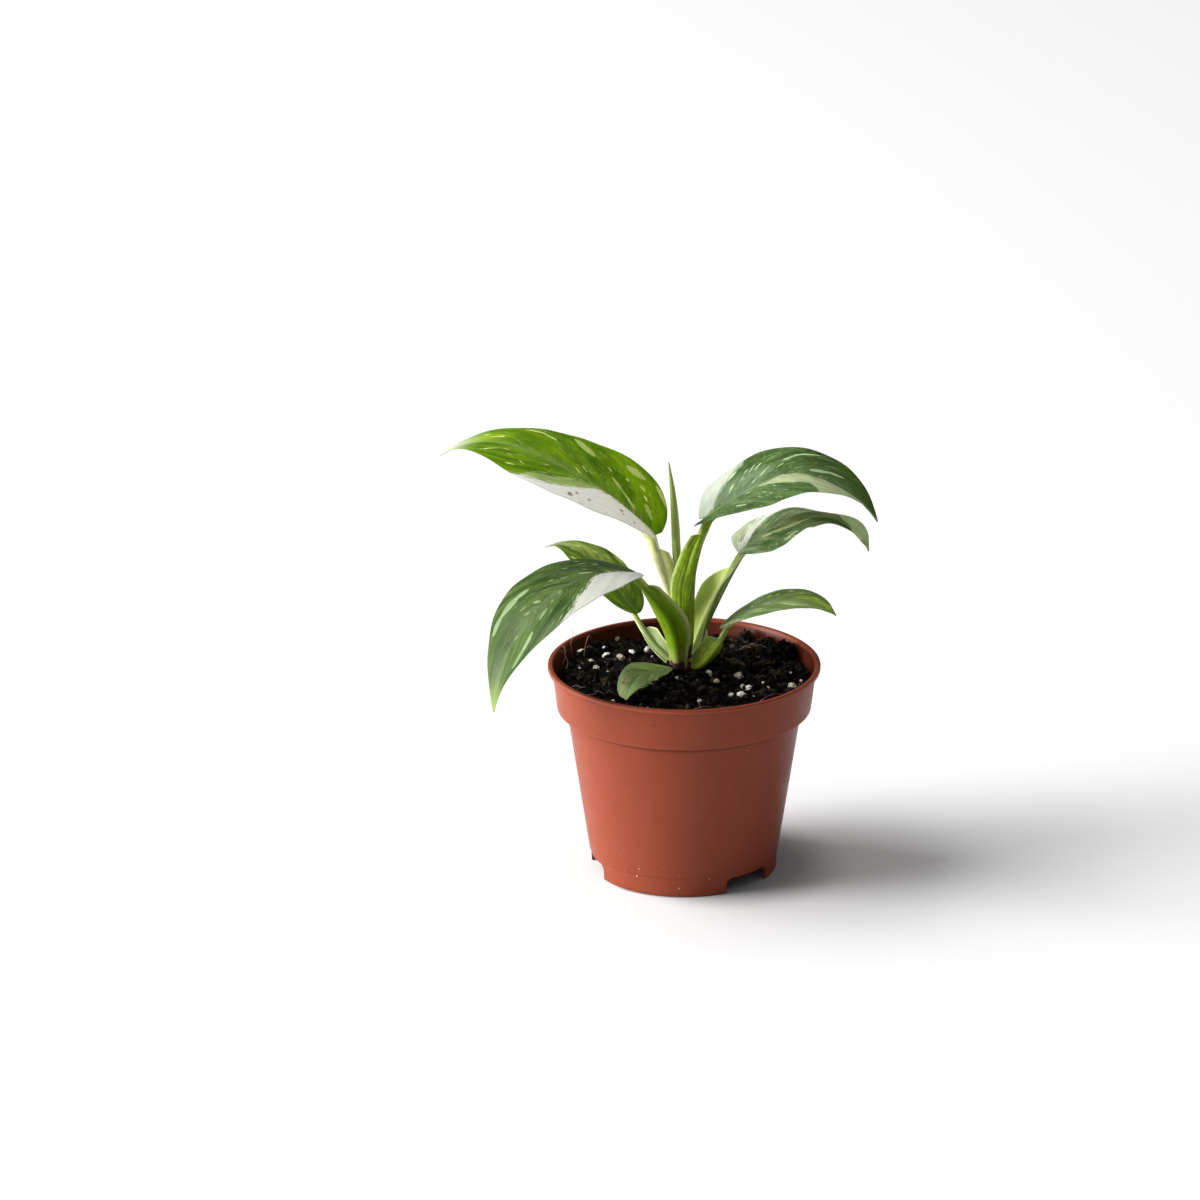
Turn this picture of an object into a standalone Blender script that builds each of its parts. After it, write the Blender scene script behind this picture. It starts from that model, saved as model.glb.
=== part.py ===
"""Variegated philodendron in a round plastic nursery pot.

The plant is drawn round the pot's axis and then moved so that the origin is the bottom
centre of the whole object's box. Metres and degrees, +Z up, front of the object at -Y.
"""

import math

import bmesh
import bpy
import numpy as np
from mathutils import Vector, noise

# ---- driving dimensions ---------------------------------------------------------------

GAP = 0.0003                 # clearance between pieces that touch

POT_HEIGHT = 0.0827
LIP_RADIUS = 0.0525          # outer radius of the rolled rim
LIP_HEIGHT = 0.0021
POT_WALL = 0.0012
COLLAR_TOP_RADIUS = 0.0508   # outer radius just under the rim
COLLAR_FOOT_RADIUS = 0.0490
COLLAR_FOOT = 0.0653         # height of the ledge under the collar
BODY_TOP_RADIUS = 0.0454
BODY_FOOT_RADIUS = 0.0367
FOOT_HEIGHT = 0.0077         # height of the line where the foot ring starts
FOOT_RADIUS = 0.0359
FOOT_STEP = 0.0002           # how far the foot ring stands in from the wall above it
FLOOR_TOP = 0.0075
FLOOR_BOTTOM = 0.0063
POT_SEGMENTS = 60

NOTCH_COUNT = 3
NOTCH_FIRST = -46.0          # azimuth of the first arched notch in the foot ring
NOTCH_HALF_WIDTH = 0.0105
NOTCH_HEIGHT = 0.0061
NOTCH_CORNER = 0.0025
HOLE_COUNT = 6
HOLE_RADIUS = 0.0040
HOLE_CIRCLE = 0.0220

SOIL_LEVEL = 0.0755
SOIL_ROUGHNESS = 0.0011
SOIL_RINGS = 9
SOIL_SEGMENTS = 40
# x, y, height and spread of each mound on the surface
SOIL_MOUNDS = (
    (0.0000, 0.0060, 0.0030, 0.012),
    (0.0260, 0.0260, 0.0032, 0.013),
    (-0.0340, 0.0220, 0.0018, 0.014),
)

STEM_X = -0.0005
STEM_Y = 0.0063
STEM_PROFILE = ((0.0, 0.0580), (0.0022, 0.0586), (0.0033, 0.0620), (0.0037, 0.0700),
                (0.0038, 0.0770), (0.0035, 0.0805), (0.0026, 0.0832), (0.0, 0.0842))
STEM_SEGMENTS = 16

ROOT_COUNT = 5
ROOT_FIRST = 20.0            # azimuth of the first root
# distance from the stem's axis, and height, of the points along a root
ROOT_COURSE = ((0.0020, 0.0660), (0.0100, 0.0590), (0.0190, 0.0450), (0.0240, 0.0290), (0.0230, 0.0130))
ROOT_RADII = (0.0014, 0.0013, 0.0011, 0.0009, 0.0007)
ROOT_SWAY = 12.0             # degrees that a root wanders round the axis

BLADE_STATIONS = 14
BLADE_SPREAD = (-1.0, -0.64, -0.16, 0.0, 0.16, 0.64, 1.0)   # stations from margin to margin
BLADE_HALF_THICKNESS = 0.00034
BLADE_RIB = 0.0007           # how far the midrib stands out underneath at its foot
BLADE_START = 0.004          # parts of the midrib left off at the foot and at the tip
BLADE_END = 0.985

STALK_STATIONS = 13
STALK_SPREAD = (-1.0, -0.62, -0.26, 0.0, 0.26, 0.62, 1.0)
SHEATH_WALL = 0.0007
STALK_HOLD = 0.0006          # how far a stalk runs on under the foot of its blade
STALK_DROP = 0.0014          # how far below the blade's middle surface it ends

# ---- the leaves -----------------------------------------------------------------------
# Each list runs from the foot of the blade to its tip. pitch, heading and roll turn the
# midrib; fold_left and fold_right lift the two halves; curl bends each half on towards its
# margin; shape holds the two powers of the outline; lobe draws the foot back at the sides.

LEAVES = {
    "upper_left": dict(
        base=(-0.0113, 0.0060, 0.1320), length=0.098, half_width=0.0228,
        pitch=(45, 30, 9, -38), heading=(157, 171, 159, 171), roll=(-5, -23, -16, 14),
        fold_left=(30, 21, 5), fold_right=(36, -6, 18), curl=11, shape=(0.52, 0.90), lobe=0.001),
    "lower_left": dict(
        base=(-0.0177, -0.0081, 0.1218), length=0.093, half_width=0.0222,
        pitch=(16, -10, -47, -76), heading=(207, 220, 227, 223), roll=(6, -1, 2, 19),
        fold_left=(13, 15, 30), fold_right=(13, 2, 17), curl=15, shape=(0.45, 1.01), lobe=-0.001),
    "back_left": dict(
        base=(-0.0181, 0.0242, 0.0940), length=0.053, half_width=0.0144,
        pitch=(37, 31, 18, -28), heading=(137, 138, 139, 160), roll=(13, 10, 6, 4),
        fold_left=(7, 19, 15), fold_right=(8, 14, 15), curl=16, shape=(0.60, 0.99), lobe=0.0),
    "upper_right": dict(
        base=(0.0082, 0.0080, 0.1391), length=0.078, half_width=0.0202,
        pitch=(35, 26, -18, -58), heading=(5, -2, -16, -18), roll=(20, 13, 2, -6),
        fold_left=(15, 10, 15), fold_right=(32, 4, 33), curl=10, shape=(0.77, 1.03), lobe=0.004),
    "middle_right": dict(
        base=(0.0210, 0.0121, 0.1231), length=0.0625, half_width=0.0176,
        pitch=(32, 29, -16, -80), heading=(36, -7, -4, -5), roll=(18, 10, -12, 23),
        fold_left=(9, 1, 28), fold_right=(25, 4, 23), curl=22, shape=(0.71, 1.04), lobe=0.0),
    "lower_right": dict(
        base=(0.0152, 0.0041, 0.0965), length=0.048, half_width=0.0098,
        pitch=(33, 21, -3, -52), heading=(4, 3, -1, -10), roll=(3, 6, 9, 6),
        fold_left=(4, 6, 13), fold_right=(20, 14, 13), curl=17, shape=(0.67, 0.84), lobe=0.002),
    "front": dict(
        base=(-0.0047, 0.0030, 0.0794), length=0.0375, half_width=0.0066,
        pitch=(8, 10, -13, -21), heading=(221, 235, 246, 266), roll=(1, -9, -10, 29),
        fold_left=(8, 7, 17), fold_right=(11, 16, 2), curl=7, shape=(0.60, 0.62), lobe=0.0),
}

# Each stalk is a rod whose two edges run out into the wings of a sheath. The lists run from
# the stem up: inward is the azimuth that the channel opens towards, reach the half width
# measured round the channel, bend the channel's radius, rod the rod's half width.

STALKS = {
    "upper_left": dict(
        path=((-0.0018, 0.0088, 0.0838), (-0.0038, 0.0083, 0.1005), (-0.0060, 0.0078, 0.1097),
              (-0.0082, 0.0072, 0.1172), (-0.0106, 0.0067, 0.1243)),
        inward=(-60, -40, -25, -20, -30), reach=(0.0020, 0.0036, 0.0046, 0.0046, 0.0022, 0.0018),
        bend=(0.0026, 0.0028, 0.0034, 0.0038, 0.0040), rod=(0.0012, 0.0014, 0.0016, 0.0018)),
    "upper_right": dict(
        path=((0.0006, 0.0040, 0.0836), (0.0010, 0.0032, 0.1000), (0.0016, 0.0036, 0.1114),
              (0.0031, 0.0048, 0.1204), (0.0054, 0.0063, 0.1292)),
        inward=(100, 112, 125, 140, 150), reach=(0.0022, 0.0050, 0.0064, 0.0058, 0.0034, 0.0021),
        bend=(0.0036, 0.0044, 0.0050, 0.0050, 0.0044), rod=(0.0016, 0.0019, 0.0020, 0.0019)),
    "lower_left": dict(
        path=((-0.0026, 0.0012, 0.0804), (-0.0030, 0.0000, 0.0898), (-0.0051, -0.0015, 0.0984),
              (-0.0089, -0.0035, 0.1068), (-0.0135, -0.0060, 0.1138)),
        inward=(68, 66, 62, 56, 45), reach=(0.0036, 0.0048, 0.0052, 0.0056, 0.0054, 0.0022),
        bend=(0.0050, 0.0054, 0.0060, 0.0064, 0.0056), rod=(0.0018, 0.0018, 0.0018, 0.0017)),
    "middle_right": dict(
        path=((0.0030, 0.0092, 0.0803), (0.0060, 0.0103, 0.0890), (0.0092, 0.0110, 0.0974),
              (0.0133, 0.0115, 0.1063), (0.0174, 0.0119, 0.1147)),
        inward=(220, 222, 224, 220, 210), reach=(0.0026, 0.0040, 0.0052, 0.0063, 0.0066, 0.0028, 0.0015),
        bend=(0.0044, 0.0046, 0.0046, 0.0044, 0.0038), rod=(0.0016, 0.0017, 0.0015, 0.0014)),
    "back_left": dict(
        path=((-0.0036, 0.0096, 0.0790), (-0.0078, 0.0122, 0.0816), (-0.0121, 0.0157, 0.0848),
              (-0.0160, 0.0202, 0.0892)),
        inward=(-55, -62, -66, -60), reach=(0.0022, 0.0040, 0.0046, 0.0022, 0.0012),
        bend=(0.0036, 0.0040, 0.0044, 0.0036), rod=(0.0012, 0.0013, 0.0012, 0.0011)),
    "lower_right": dict(
        path=((0.0026, 0.0040, 0.0790), (0.0061, 0.0030, 0.0808), (0.0100, 0.0030, 0.0848),
              (0.0134, 0.0034, 0.0897)),
        inward=(125, 118, 112, 150), reach=(0.0024, 0.0046, 0.0052, 0.0024, 0.0013),
        bend=(0.0036, 0.0040, 0.0044, 0.0038), rod=(0.0014, 0.0014, 0.0013, 0.0012)),
    "front": dict(
        path=((-0.0014, 0.0046, 0.0776), (-0.0032, 0.0037, 0.0780)),
        inward=(130, 130), reach=(0.0010, 0.0010),
        bend=(0.0060, 0.0060), rod=(0.0010, 0.0009)),
}

# The rolled new leaf and the scale leaf: points of the middle line and the radius at each.
NEW_LEAF_COURSE = ((-0.0012, 0.0064, 0.0880), (-0.0016, 0.0062, 0.1060), (-0.0030, 0.0064, 0.1251),
                   (-0.0036, 0.0070, 0.1383), (-0.0045, 0.0078, 0.1500), (-0.0060, 0.0085, 0.1612))
NEW_LEAF_RADII = (0.0006, 0.0012, 0.0017, 0.0016, 0.0011, 0.0003)
CATAPHYLL_COURSE = ((0.0051, 0.0060, 0.0795), (0.0069, 0.0054, 0.0862), (0.0078, 0.0050, 0.0905),
                    (0.0086, 0.0048, 0.0945))
CATAPHYLL_RADII = (0.0013, 0.0014, 0.0010, 0.0003)
CATAPHYLL_FLATNESS = 0.45

# x, y and the three half sizes of each larger grain of perlite
GRAINS = (
    (-0.0400, 0.0235, 0.0014, 0.0013, 0.0014),
    (-0.0300, 0.0205, 0.0016, 0.0013, 0.0013),
    (-0.0248, 0.0180, 0.0021, 0.0015, 0.0015),
    (-0.0203, 0.0262, 0.0015, 0.0012, 0.0011),
    (-0.0142, 0.0285, 0.0016, 0.0014, 0.0015),
    (-0.0340, 0.0085, 0.0013, 0.0012, 0.0013),
    (0.0212, 0.0020, 0.0021, 0.0017, 0.0018),
    (0.0250, -0.0100, 0.0016, 0.0012, 0.0012),
    (0.0412, -0.0070, 0.0019, 0.0013, 0.0012),
    (0.0218, -0.0190, 0.0017, 0.0015, 0.0015),
)
# x, y, the three half sizes and the azimuth of each larger chip of bark
CHIPS = (
    (0.0375, 0.0200, 0.0050, 0.0032, 0.0024, 25.0),
    (0.0265, 0.0270, 0.0042, 0.0016, 0.0012, 20.0),
    (0.0240, 0.0385, 0.0030, 0.0024, 0.0020, -35.0),
    (0.0190, 0.0140, 0.0045, 0.0012, 0.0010, -40.0),
)


# ---- general helpers ------------------------------------------------------------------

def clear_scene():
    for thing in list(bpy.data.objects):
        bpy.data.objects.remove(thing, do_unlink=True)


def make_material(name, colour, roughness):
    material = bpy.data.materials.new(name)
    material.use_nodes = True
    shader = material.node_tree.nodes["Principled BSDF"]
    shader.inputs["Base Color"].default_value = (*colour, 1.0)
    shader.inputs["Roughness"].default_value = roughness
    shader.inputs["Metallic"].default_value = 0.0
    return material


def add_solid(name, vertices, faces, material, parent):
    """One closed mesh as an object, shaded smooth except across its sharp edges."""
    mesh = bpy.data.meshes.new(name)
    mesh.from_pydata([tuple(v) for v in vertices], [], faces)
    mesh.materials.append(material)
    mesh.shade_smooth()
    mesh.set_sharp_from_angle(angle=math.radians(40.0))
    solid = bpy.data.objects.new(name, mesh)
    solid.parent = parent
    bpy.context.scene.collection.objects.link(solid)
    return solid


def add_cutter(name, vertices, faces, material, parent):
    """A closed mesh that only cuts others and is no piece itself."""
    cutter = add_solid(name, vertices, faces, material, parent)
    cutter.hide_render = True
    cutter.display_type = "WIRE"
    return cutter


def cut(solid, cutters):
    for cutter in cutters:
        modifier = solid.modifiers.new("clear of " + cutter.name, "BOOLEAN")
        modifier.operation = "DIFFERENCE"
        modifier.solver = "EXACT"
        modifier.object = cutter


def along(values, position):
    """A smooth curve through equally spaced values, read at positions from 0 to 1."""
    points = np.asarray(values, dtype=float)
    count = len(points) - 1
    place = np.clip(position, 0.0, 1.0) * count
    index = np.minimum(place.astype(int), count - 1)
    u = place - index
    if points.ndim > 1:
        u = u[:, None]
    before = 2.0 * points[0] - points[1]
    after = 2.0 * points[-1] - points[-2]
    padded = np.concatenate([[before], points, [after]])
    a, b, c, d = (padded[index + step] for step in range(4))
    return 0.5 * (2 * b + (c - a) * u + (2 * a - 5 * b + 4 * c - d) * u**2 + (3 * b - a - 3 * c + d) * u**3)


def unit(vectors):
    return vectors / np.linalg.norm(vectors, axis=-1, keepdims=True)


def tube_faces(rings, around):
    """Faces of a closed tube whose vertices come ring by ring, each ring anticlockwise seen
    from the tube's end, with one flat cap at each end."""
    faces = []
    for ring in range(rings - 1):
        for side in range(around):
            here = ring * around + side
            there = ring * around + (side + 1) % around
            faces.append((here, there, there + around, here + around))
    faces.append(tuple(reversed(range(around))))
    faces.append(tuple(range((rings - 1) * around, rings * around)))
    return faces


# ---- turned pieces --------------------------------------------------------------------

def turned(profile, segments, x=0.0, y=0.0):
    """A solid turned round Z from a profile of (radius, height) that starts and ends on the
    axis and runs anticlockwise round the section, so that its faces point out."""
    vertices = [(x, y, profile[0][1])]
    for radius, height in profile[1:-1]:
        for step in range(segments):
            angle = 2.0 * math.pi * step / segments
            vertices.append((x + radius * math.cos(angle), y + radius * math.sin(angle), height))
    vertices.append((x, y, profile[-1][1]))
    rings = len(profile) - 2
    faces = []
    for step in range(segments):
        following = (step + 1) % segments
        faces.append((0, 1 + following, 1 + step))
        for ring in range(rings - 1):
            low = 1 + ring * segments
            high = low + segments
            faces.append((low + step, low + following, high + following, high + step))
        last = 1 + (rings - 1) * segments
        faces.append((last + step, last + following, len(vertices) - 1))
    return vertices, faces


def pot_wall_radius(height):
    """Outer radius of the pot at a height."""
    if height >= COLLAR_FOOT:
        part = (height - COLLAR_FOOT) / (POT_HEIGHT - LIP_HEIGHT - COLLAR_FOOT)
        return COLLAR_FOOT_RADIUS + part * (COLLAR_TOP_RADIUS - COLLAR_FOOT_RADIUS)
    part = (height - FOOT_HEIGHT) / (COLLAR_FOOT - FOOT_HEIGHT)
    return BODY_FOOT_RADIUS + part * (BODY_TOP_RADIUS - BODY_FOOT_RADIUS)


def pot_profile():
    lip_foot = POT_HEIGHT - LIP_HEIGHT
    soft = 0.0006
    foot_inside = FOOT_RADIUS - POT_WALL
    return (
        (0.0, FLOOR_BOTTOM),
        (foot_inside, FLOOR_BOTTOM),
        (foot_inside, 0.0),
        (FOOT_RADIUS, 0.0),
        (BODY_FOOT_RADIUS - FOOT_STEP, FOOT_HEIGHT - FOOT_STEP),
        (BODY_FOOT_RADIUS, FOOT_HEIGHT),
        (BODY_TOP_RADIUS, COLLAR_FOOT - soft / 2),
        (BODY_TOP_RADIUS + soft / 2, COLLAR_FOOT),
        (COLLAR_FOOT_RADIUS - soft / 2, COLLAR_FOOT),
        (COLLAR_FOOT_RADIUS, COLLAR_FOOT + soft / 2),
        (COLLAR_TOP_RADIUS, lip_foot),
        (LIP_RADIUS - soft, lip_foot),
        (LIP_RADIUS, lip_foot + soft),
        (LIP_RADIUS, POT_HEIGHT - soft),
        (LIP_RADIUS - soft, POT_HEIGHT),
        (COLLAR_TOP_RADIUS, POT_HEIGHT),
        (COLLAR_TOP_RADIUS - soft, POT_HEIGHT - soft),
        (COLLAR_FOOT_RADIUS - POT_WALL, COLLAR_FOOT + POT_WALL),
        (BODY_TOP_RADIUS - POT_WALL, COLLAR_FOOT + POT_WALL / 2),
        (BODY_FOOT_RADIUS - POT_WALL, FLOOR_TOP),
        (0.0, FLOOR_TOP),
    )


def notch_mesh(azimuth):
    """A bar with two rounded upper edges that runs out through the foot ring."""
    outline = [(-NOTCH_HALF_WIDTH, -0.002), (NOTCH_HALF_WIDTH, -0.002)]
    for centre, first in ((NOTCH_HALF_WIDTH - NOTCH_CORNER, 0.0), (NOTCH_CORNER - NOTCH_HALF_WIDTH, 90.0)):
        for step in range(4):
            angle = math.radians(first + 30.0 * step)
            outline.append((centre + NOTCH_CORNER * math.cos(angle),
                            NOTCH_HEIGHT - NOTCH_CORNER + NOTCH_CORNER * math.sin(angle)))
    turn = math.radians(azimuth)
    out = Vector((math.cos(turn), math.sin(turn), 0.0))
    across = Vector((-math.sin(turn), math.cos(turn), 0.0))
    vertices = []
    for distance in (BODY_FOOT_RADIUS + 0.003, FOOT_RADIUS * 0.80):
        for side, height in outline:
            vertices.append(out * distance + across * side + Vector((0.0, 0.0, height)))
    return vertices, [tuple(reversed(face)) for face in tube_faces(2, len(outline))]


def build_pot(material, parent):
    pot = add_solid("pot", *turned(pot_profile(), POT_SEGMENTS), material, parent)
    cutters = []
    for index in range(NOTCH_COUNT):
        azimuth = NOTCH_FIRST + 360.0 * index / NOTCH_COUNT
        cutters.append(add_cutter(f"notch_cutter_{index + 1}", *notch_mesh(azimuth), material, parent))
    for index in range(HOLE_COUNT):
        angle = 2.0 * math.pi * (index + 0.5) / HOLE_COUNT
        drill = turned(((0.0, 0.0), (HOLE_RADIUS, 0.0), (HOLE_RADIUS, 0.012), (0.0, 0.012)), 12,
                       HOLE_CIRCLE * math.cos(angle), HOLE_CIRCLE * math.sin(angle))
        cutters.append(add_cutter(f"hole_cutter_{index + 1}", *drill, material, parent))
    cut(pot, cutters)
    return pot


# ---- blades ---------------------------------------------------------------------------

def blade_frame(leaf, position):
    """The midrib's points with its forward, left and upward directions."""
    fine = np.linspace(0.0, 1.0, 241)
    pitch, heading, roll = (np.radians(along(leaf[key], fine)) for key in ("pitch", "heading", "roll"))
    run = np.cos(pitch)
    forward = np.stack([run * np.cos(heading), run * np.sin(heading), np.sin(pitch)], axis=-1)
    steps = (forward[1:] + forward[:-1]) / 2.0 * leaf["length"] / (len(fine) - 1)
    midrib = np.concatenate([np.zeros((1, 3)), np.cumsum(steps, axis=0)]) + np.array(leaf["base"])
    level = np.stack([-np.sin(heading), np.cos(heading), np.zeros_like(heading)], axis=-1)
    upright = np.cross(forward, level)
    side = np.cos(roll)[:, None] * level + np.sin(roll)[:, None] * upright
    normal = np.cross(forward, side)

    def read(values):
        return np.stack([np.interp(position, fine, values[:, axis]) for axis in range(3)], axis=-1)

    return read(midrib), read(forward), read(side), read(normal)


def blade_surface(leaf, position, spread):
    """Points of a blade's middle surface: rows follow the midrib, columns cross it."""
    midrib, forward, side, normal = blade_frame(leaf, position)
    low, high = leaf["shape"]
    peak = low / (low + high)
    outline = (position / peak) ** low * ((1.0 - position) / (1.0 - peak)) ** high
    width = (leaf["half_width"] * outline)[:, None]
    curl = math.radians(leaf["curl"])
    surface = np.empty((len(position), len(spread), 3))
    for column, place in enumerate(spread):
        reach = abs(place)
        fold = np.radians(along(leaf["fold_left" if place >= 0.0 else "fold_right"], position))[:, None]
        sideways = (np.sin(fold) - np.sin(fold - curl * reach)) / curl
        upwards = (np.cos(fold - curl * reach) - np.cos(fold)) / curl
        back = leaf["lobe"] * reach * (1.0 - position[:, None]) ** 6
        surface[:, column] = midrib + math.copysign(1.0, place) * side * width * sideways
        surface[:, column] += normal * width * upwards - forward * back
    return surface


def blade_mesh(leaf):
    turn = np.linspace(0.0, math.pi, BLADE_STATIONS)
    position = BLADE_START + (BLADE_END - BLADE_START) * (1.0 - np.cos(turn)) / 2.0
    spread = np.array(BLADE_SPREAD)
    middle = blade_surface(leaf, position, spread)
    down_rib = np.gradient(middle, axis=0)
    across = np.gradient(middle, axis=1)
    normal = unit(np.cross(down_rib, across))
    rib = BLADE_RIB * np.exp(-(spread / 0.10) ** 2)[None, :] * (1.0 - position[:, None])
    top = middle + normal * BLADE_HALF_THICKNESS
    bottom = middle - normal * (BLADE_HALF_THICKNESS + rib[..., None])
    rows, columns = middle.shape[:2]
    vertices = np.concatenate([top.reshape(-1, 3), bottom.reshape(-1, 3)])
    under = rows * columns

    def at(row, column):
        return row * columns + column

    faces = []
    for row in range(rows - 1):
        for column in range(columns - 1):
            corners = (at(row, column), at(row + 1, column), at(row + 1, column + 1), at(row, column + 1))
            faces.append(corners)
            faces.append(tuple(under + corner for corner in reversed(corners)))
    border = [at(row, 0) for row in range(rows)]
    border += [at(rows - 1, column) for column in range(1, columns)]
    border += [at(row, columns - 1) for row in range(rows - 2, -1, -1)]
    border += [at(0, column) for column in range(columns - 2, 0, -1)]
    for here, there in zip(border, border[1:] + border[:1]):
        faces.append((there, here, under + here, under + there))
    return vertices, faces


# ---- swept pieces ---------------------------------------------------------------------

def swept(course, radii, around, stations, flatness=1.0, grow=0.0):
    """A round or flattened tube along a smooth course, tapering through the radii."""
    position = np.linspace(0.0, 1.0, stations)
    centres = along(course, position)
    radius = along(radii, position) + grow
    forward = unit(np.gradient(centres, axis=0))
    centres[0] -= forward[0] * grow
    centres[-1] += forward[-1] * grow
    reference = np.array((0.0, -1.0, 0.0)) if abs(forward[:, 1]).max() < 0.9 else np.array((1.0, 0.0, 0.0))
    side = unit(np.cross(reference, forward))
    front = np.cross(forward, side)
    vertices = []
    for ring in range(stations):
        for step in range(around):
            angle = 2.0 * math.pi * step / around
            out = side[ring] * math.cos(angle) + front[ring] * math.sin(angle) * flatness
            vertices.append(centres[ring] + out * radius[ring])
    return vertices, tube_faces(stations, around)


def stalk_mesh(name, grow=0.0):
    """A rod with a sheath: the section is an arc that is thick in the middle. The rod's last
    point lies under the foot of its blade."""
    stalk = STALKS[name]
    foot, forward, _, normal = (frame[0] for frame in blade_frame(LEAVES[name], np.zeros(1)))
    end = foot + forward * STALK_HOLD - normal * STALK_DROP
    position = np.linspace(0.0, 1.0, STALK_STATIONS)
    centres = along(stalk["path"] + (tuple(end),), position)
    forward = unit(np.gradient(centres, axis=0))
    centres[0] -= forward[0] * grow
    centres[-1] += forward[-1] * grow
    azimuth = np.radians(along(stalk["inward"], position))
    opening = np.stack([np.cos(azimuth), np.sin(azimuth), np.zeros_like(azimuth)], axis=-1)
    opening = unit(opening - forward * np.sum(opening * forward, axis=-1, keepdims=True))
    side = np.cross(opening, forward)
    reach = along(stalk["reach"], position)
    bend = along(stalk["bend"], position)
    rod = along(stalk["rod"], position)
    vertices = []
    for ring in range(STALK_STATIONS):
        outer = []
        inner = []
        for place in STALK_SPREAD:
            distance = place * reach[ring]
            thick = max(SHEATH_WALL, 1.8 * rod[ring] * math.sqrt(max(0.0, 1.0 - (distance / rod[ring]) ** 2)))
            angle = place * (reach[ring] + grow) / bend[ring]
            out = side[ring] * math.sin(angle) - opening[ring] * math.cos(angle)
            hub = centres[ring] + opening[ring] * bend[ring]
            outer.append(hub + out * (bend[ring] + thick / 2 + grow))
            inner.append(hub + out * (bend[ring] - thick / 2 - grow))
        vertices += outer + inner[::-1]
    return vertices, tube_faces(STALK_STATIONS, 2 * len(STALK_SPREAD))


# ---- soil and what lies in it ---------------------------------------------------------

def soil_height(x, y):
    height = SOIL_LEVEL
    for mound_x, mound_y, rise, spread in SOIL_MOUNDS:
        height += rise * math.exp(-((x - mound_x) ** 2 + (y - mound_y) ** 2) / (2.0 * spread ** 2))
    height += SOIL_ROUGHNESS * noise.noise(Vector((x, y, 0.0)) * 140.0)
    height += SOIL_ROUGHNESS * 0.6 * noise.noise(Vector((x, y, 0.02)) * 330.0)
    return height


def soil_mesh():
    inside = POT_WALL + GAP
    wall = ((BODY_FOOT_RADIUS - inside, FLOOR_TOP + GAP),
            (BODY_TOP_RADIUS - inside, COLLAR_FOOT + POT_WALL / 2),
            (COLLAR_FOOT_RADIUS - inside, COLLAR_FOOT + POT_WALL + GAP))
    vertices, lower = turned(((0.0, FLOOR_TOP + GAP),) + wall + ((0.0, SOIL_LEVEL),), SOIL_SEGMENTS)
    vertices.pop()
    faces = [face for face in lower if max(face) < len(vertices)]
    edge = len(vertices) - SOIL_SEGMENTS
    for ring in range(SOIL_RINGS):
        for step in range(SOIL_SEGMENTS):
            angle = 2.0 * math.pi * step / SOIL_SEGMENTS
            part = 1.0 - ring / SOIL_RINGS
            radius = pot_wall_radius(SOIL_LEVEL) - inside
            height = soil_height(radius * math.cos(angle), radius * math.sin(angle))
            radius = (pot_wall_radius(height) - inside) * part
            x, y = radius * math.cos(angle), radius * math.sin(angle)
            vertices.append((x, y, soil_height(x, y)))
    vertices.append((0.0, 0.0, soil_height(0.0, 0.0)))
    for ring in range(SOIL_RINGS):
        low = edge + ring * SOIL_SEGMENTS
        for step in range(SOIL_SEGMENTS):
            following = (step + 1) % SOIL_SEGMENTS
            high = low + SOIL_SEGMENTS
            faces.append((low + step, low + following, high + following, high + step))
    last = edge + SOIL_RINGS * SOIL_SEGMENTS
    for step in range(SOIL_SEGMENTS):
        faces.append((last + step, last + (step + 1) % SOIL_SEGMENTS, len(vertices) - 1))
    return vertices, faces


def lump_mesh(centre, half_sizes, azimuth, subdivisions, roughness, seed, grow=0.0):
    """A rough lump: a ball of triangles pushed in and out, stretched and turned."""
    ball = bpy.data.meshes.new("lump")
    maker = bmesh.new()
    bmesh.ops.create_icosphere(maker, subdivisions=subdivisions, radius=1.0)
    maker.to_mesh(ball)
    maker.free()
    turn = math.radians(azimuth)
    vertices = []
    for vertex in ball.vertices:
        bump = 1.0 + roughness * noise.noise(vertex.co * 1.7 + Vector((seed, 0.0, 0.0)))
        point = [vertex.co[axis] * (half_sizes[axis] * bump + grow) for axis in range(3)]
        vertices.append((centre[0] + point[0] * math.cos(turn) - point[1] * math.sin(turn),
                         centre[1] + point[0] * math.sin(turn) + point[1] * math.cos(turn),
                         centre[2] + point[2]))
    faces = [tuple(polygon.vertices) for polygon in ball.polygons]
    bpy.data.meshes.remove(ball)
    return vertices, faces


def root_mesh(index, grow=0.0):
    azimuth = ROOT_FIRST + 360.0 * index / ROOT_COUNT
    course = []
    for step, (distance, height) in enumerate(ROOT_COURSE):
        angle = math.radians(azimuth + ROOT_SWAY * math.sin(1.9 * step + index))
        course.append((STEM_X + distance * math.cos(angle), STEM_Y + distance * math.sin(angle), height))
    return swept(course, ROOT_RADII, 8, 11, grow=grow)


# ---- the whole plant ------------------------------------------------------------------

def build_stem(material, parent):
    stem = add_solid("stem", *turned(STEM_PROFILE, STEM_SEGMENTS, STEM_X, STEM_Y), material, parent)
    grown = [(radius + GAP if radius else 0.0, height) for radius, height in STEM_PROFILE]
    grown[0] = (0.0, grown[0][1] - GAP)
    grown[-1] = (0.0, grown[-1][1] + GAP)
    socket = add_cutter("stem_cutter", *turned(grown, STEM_SEGMENTS, STEM_X, STEM_Y), material, parent)
    return stem, socket


def build_roots(material, parent, stem_cutter):
    """Roots that start at the stem, and the cutters that make their tunnels in the mix."""
    tunnels = []
    for index in range(ROOT_COUNT):
        root = add_solid(f"root_{index + 1}", *root_mesh(index), material, parent)
        cut(root, [stem_cutter])
        tunnels.append(add_cutter(f"tunnel_cutter_{index + 1}", *root_mesh(index, GAP), material, parent))
    return tunnels


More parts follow.
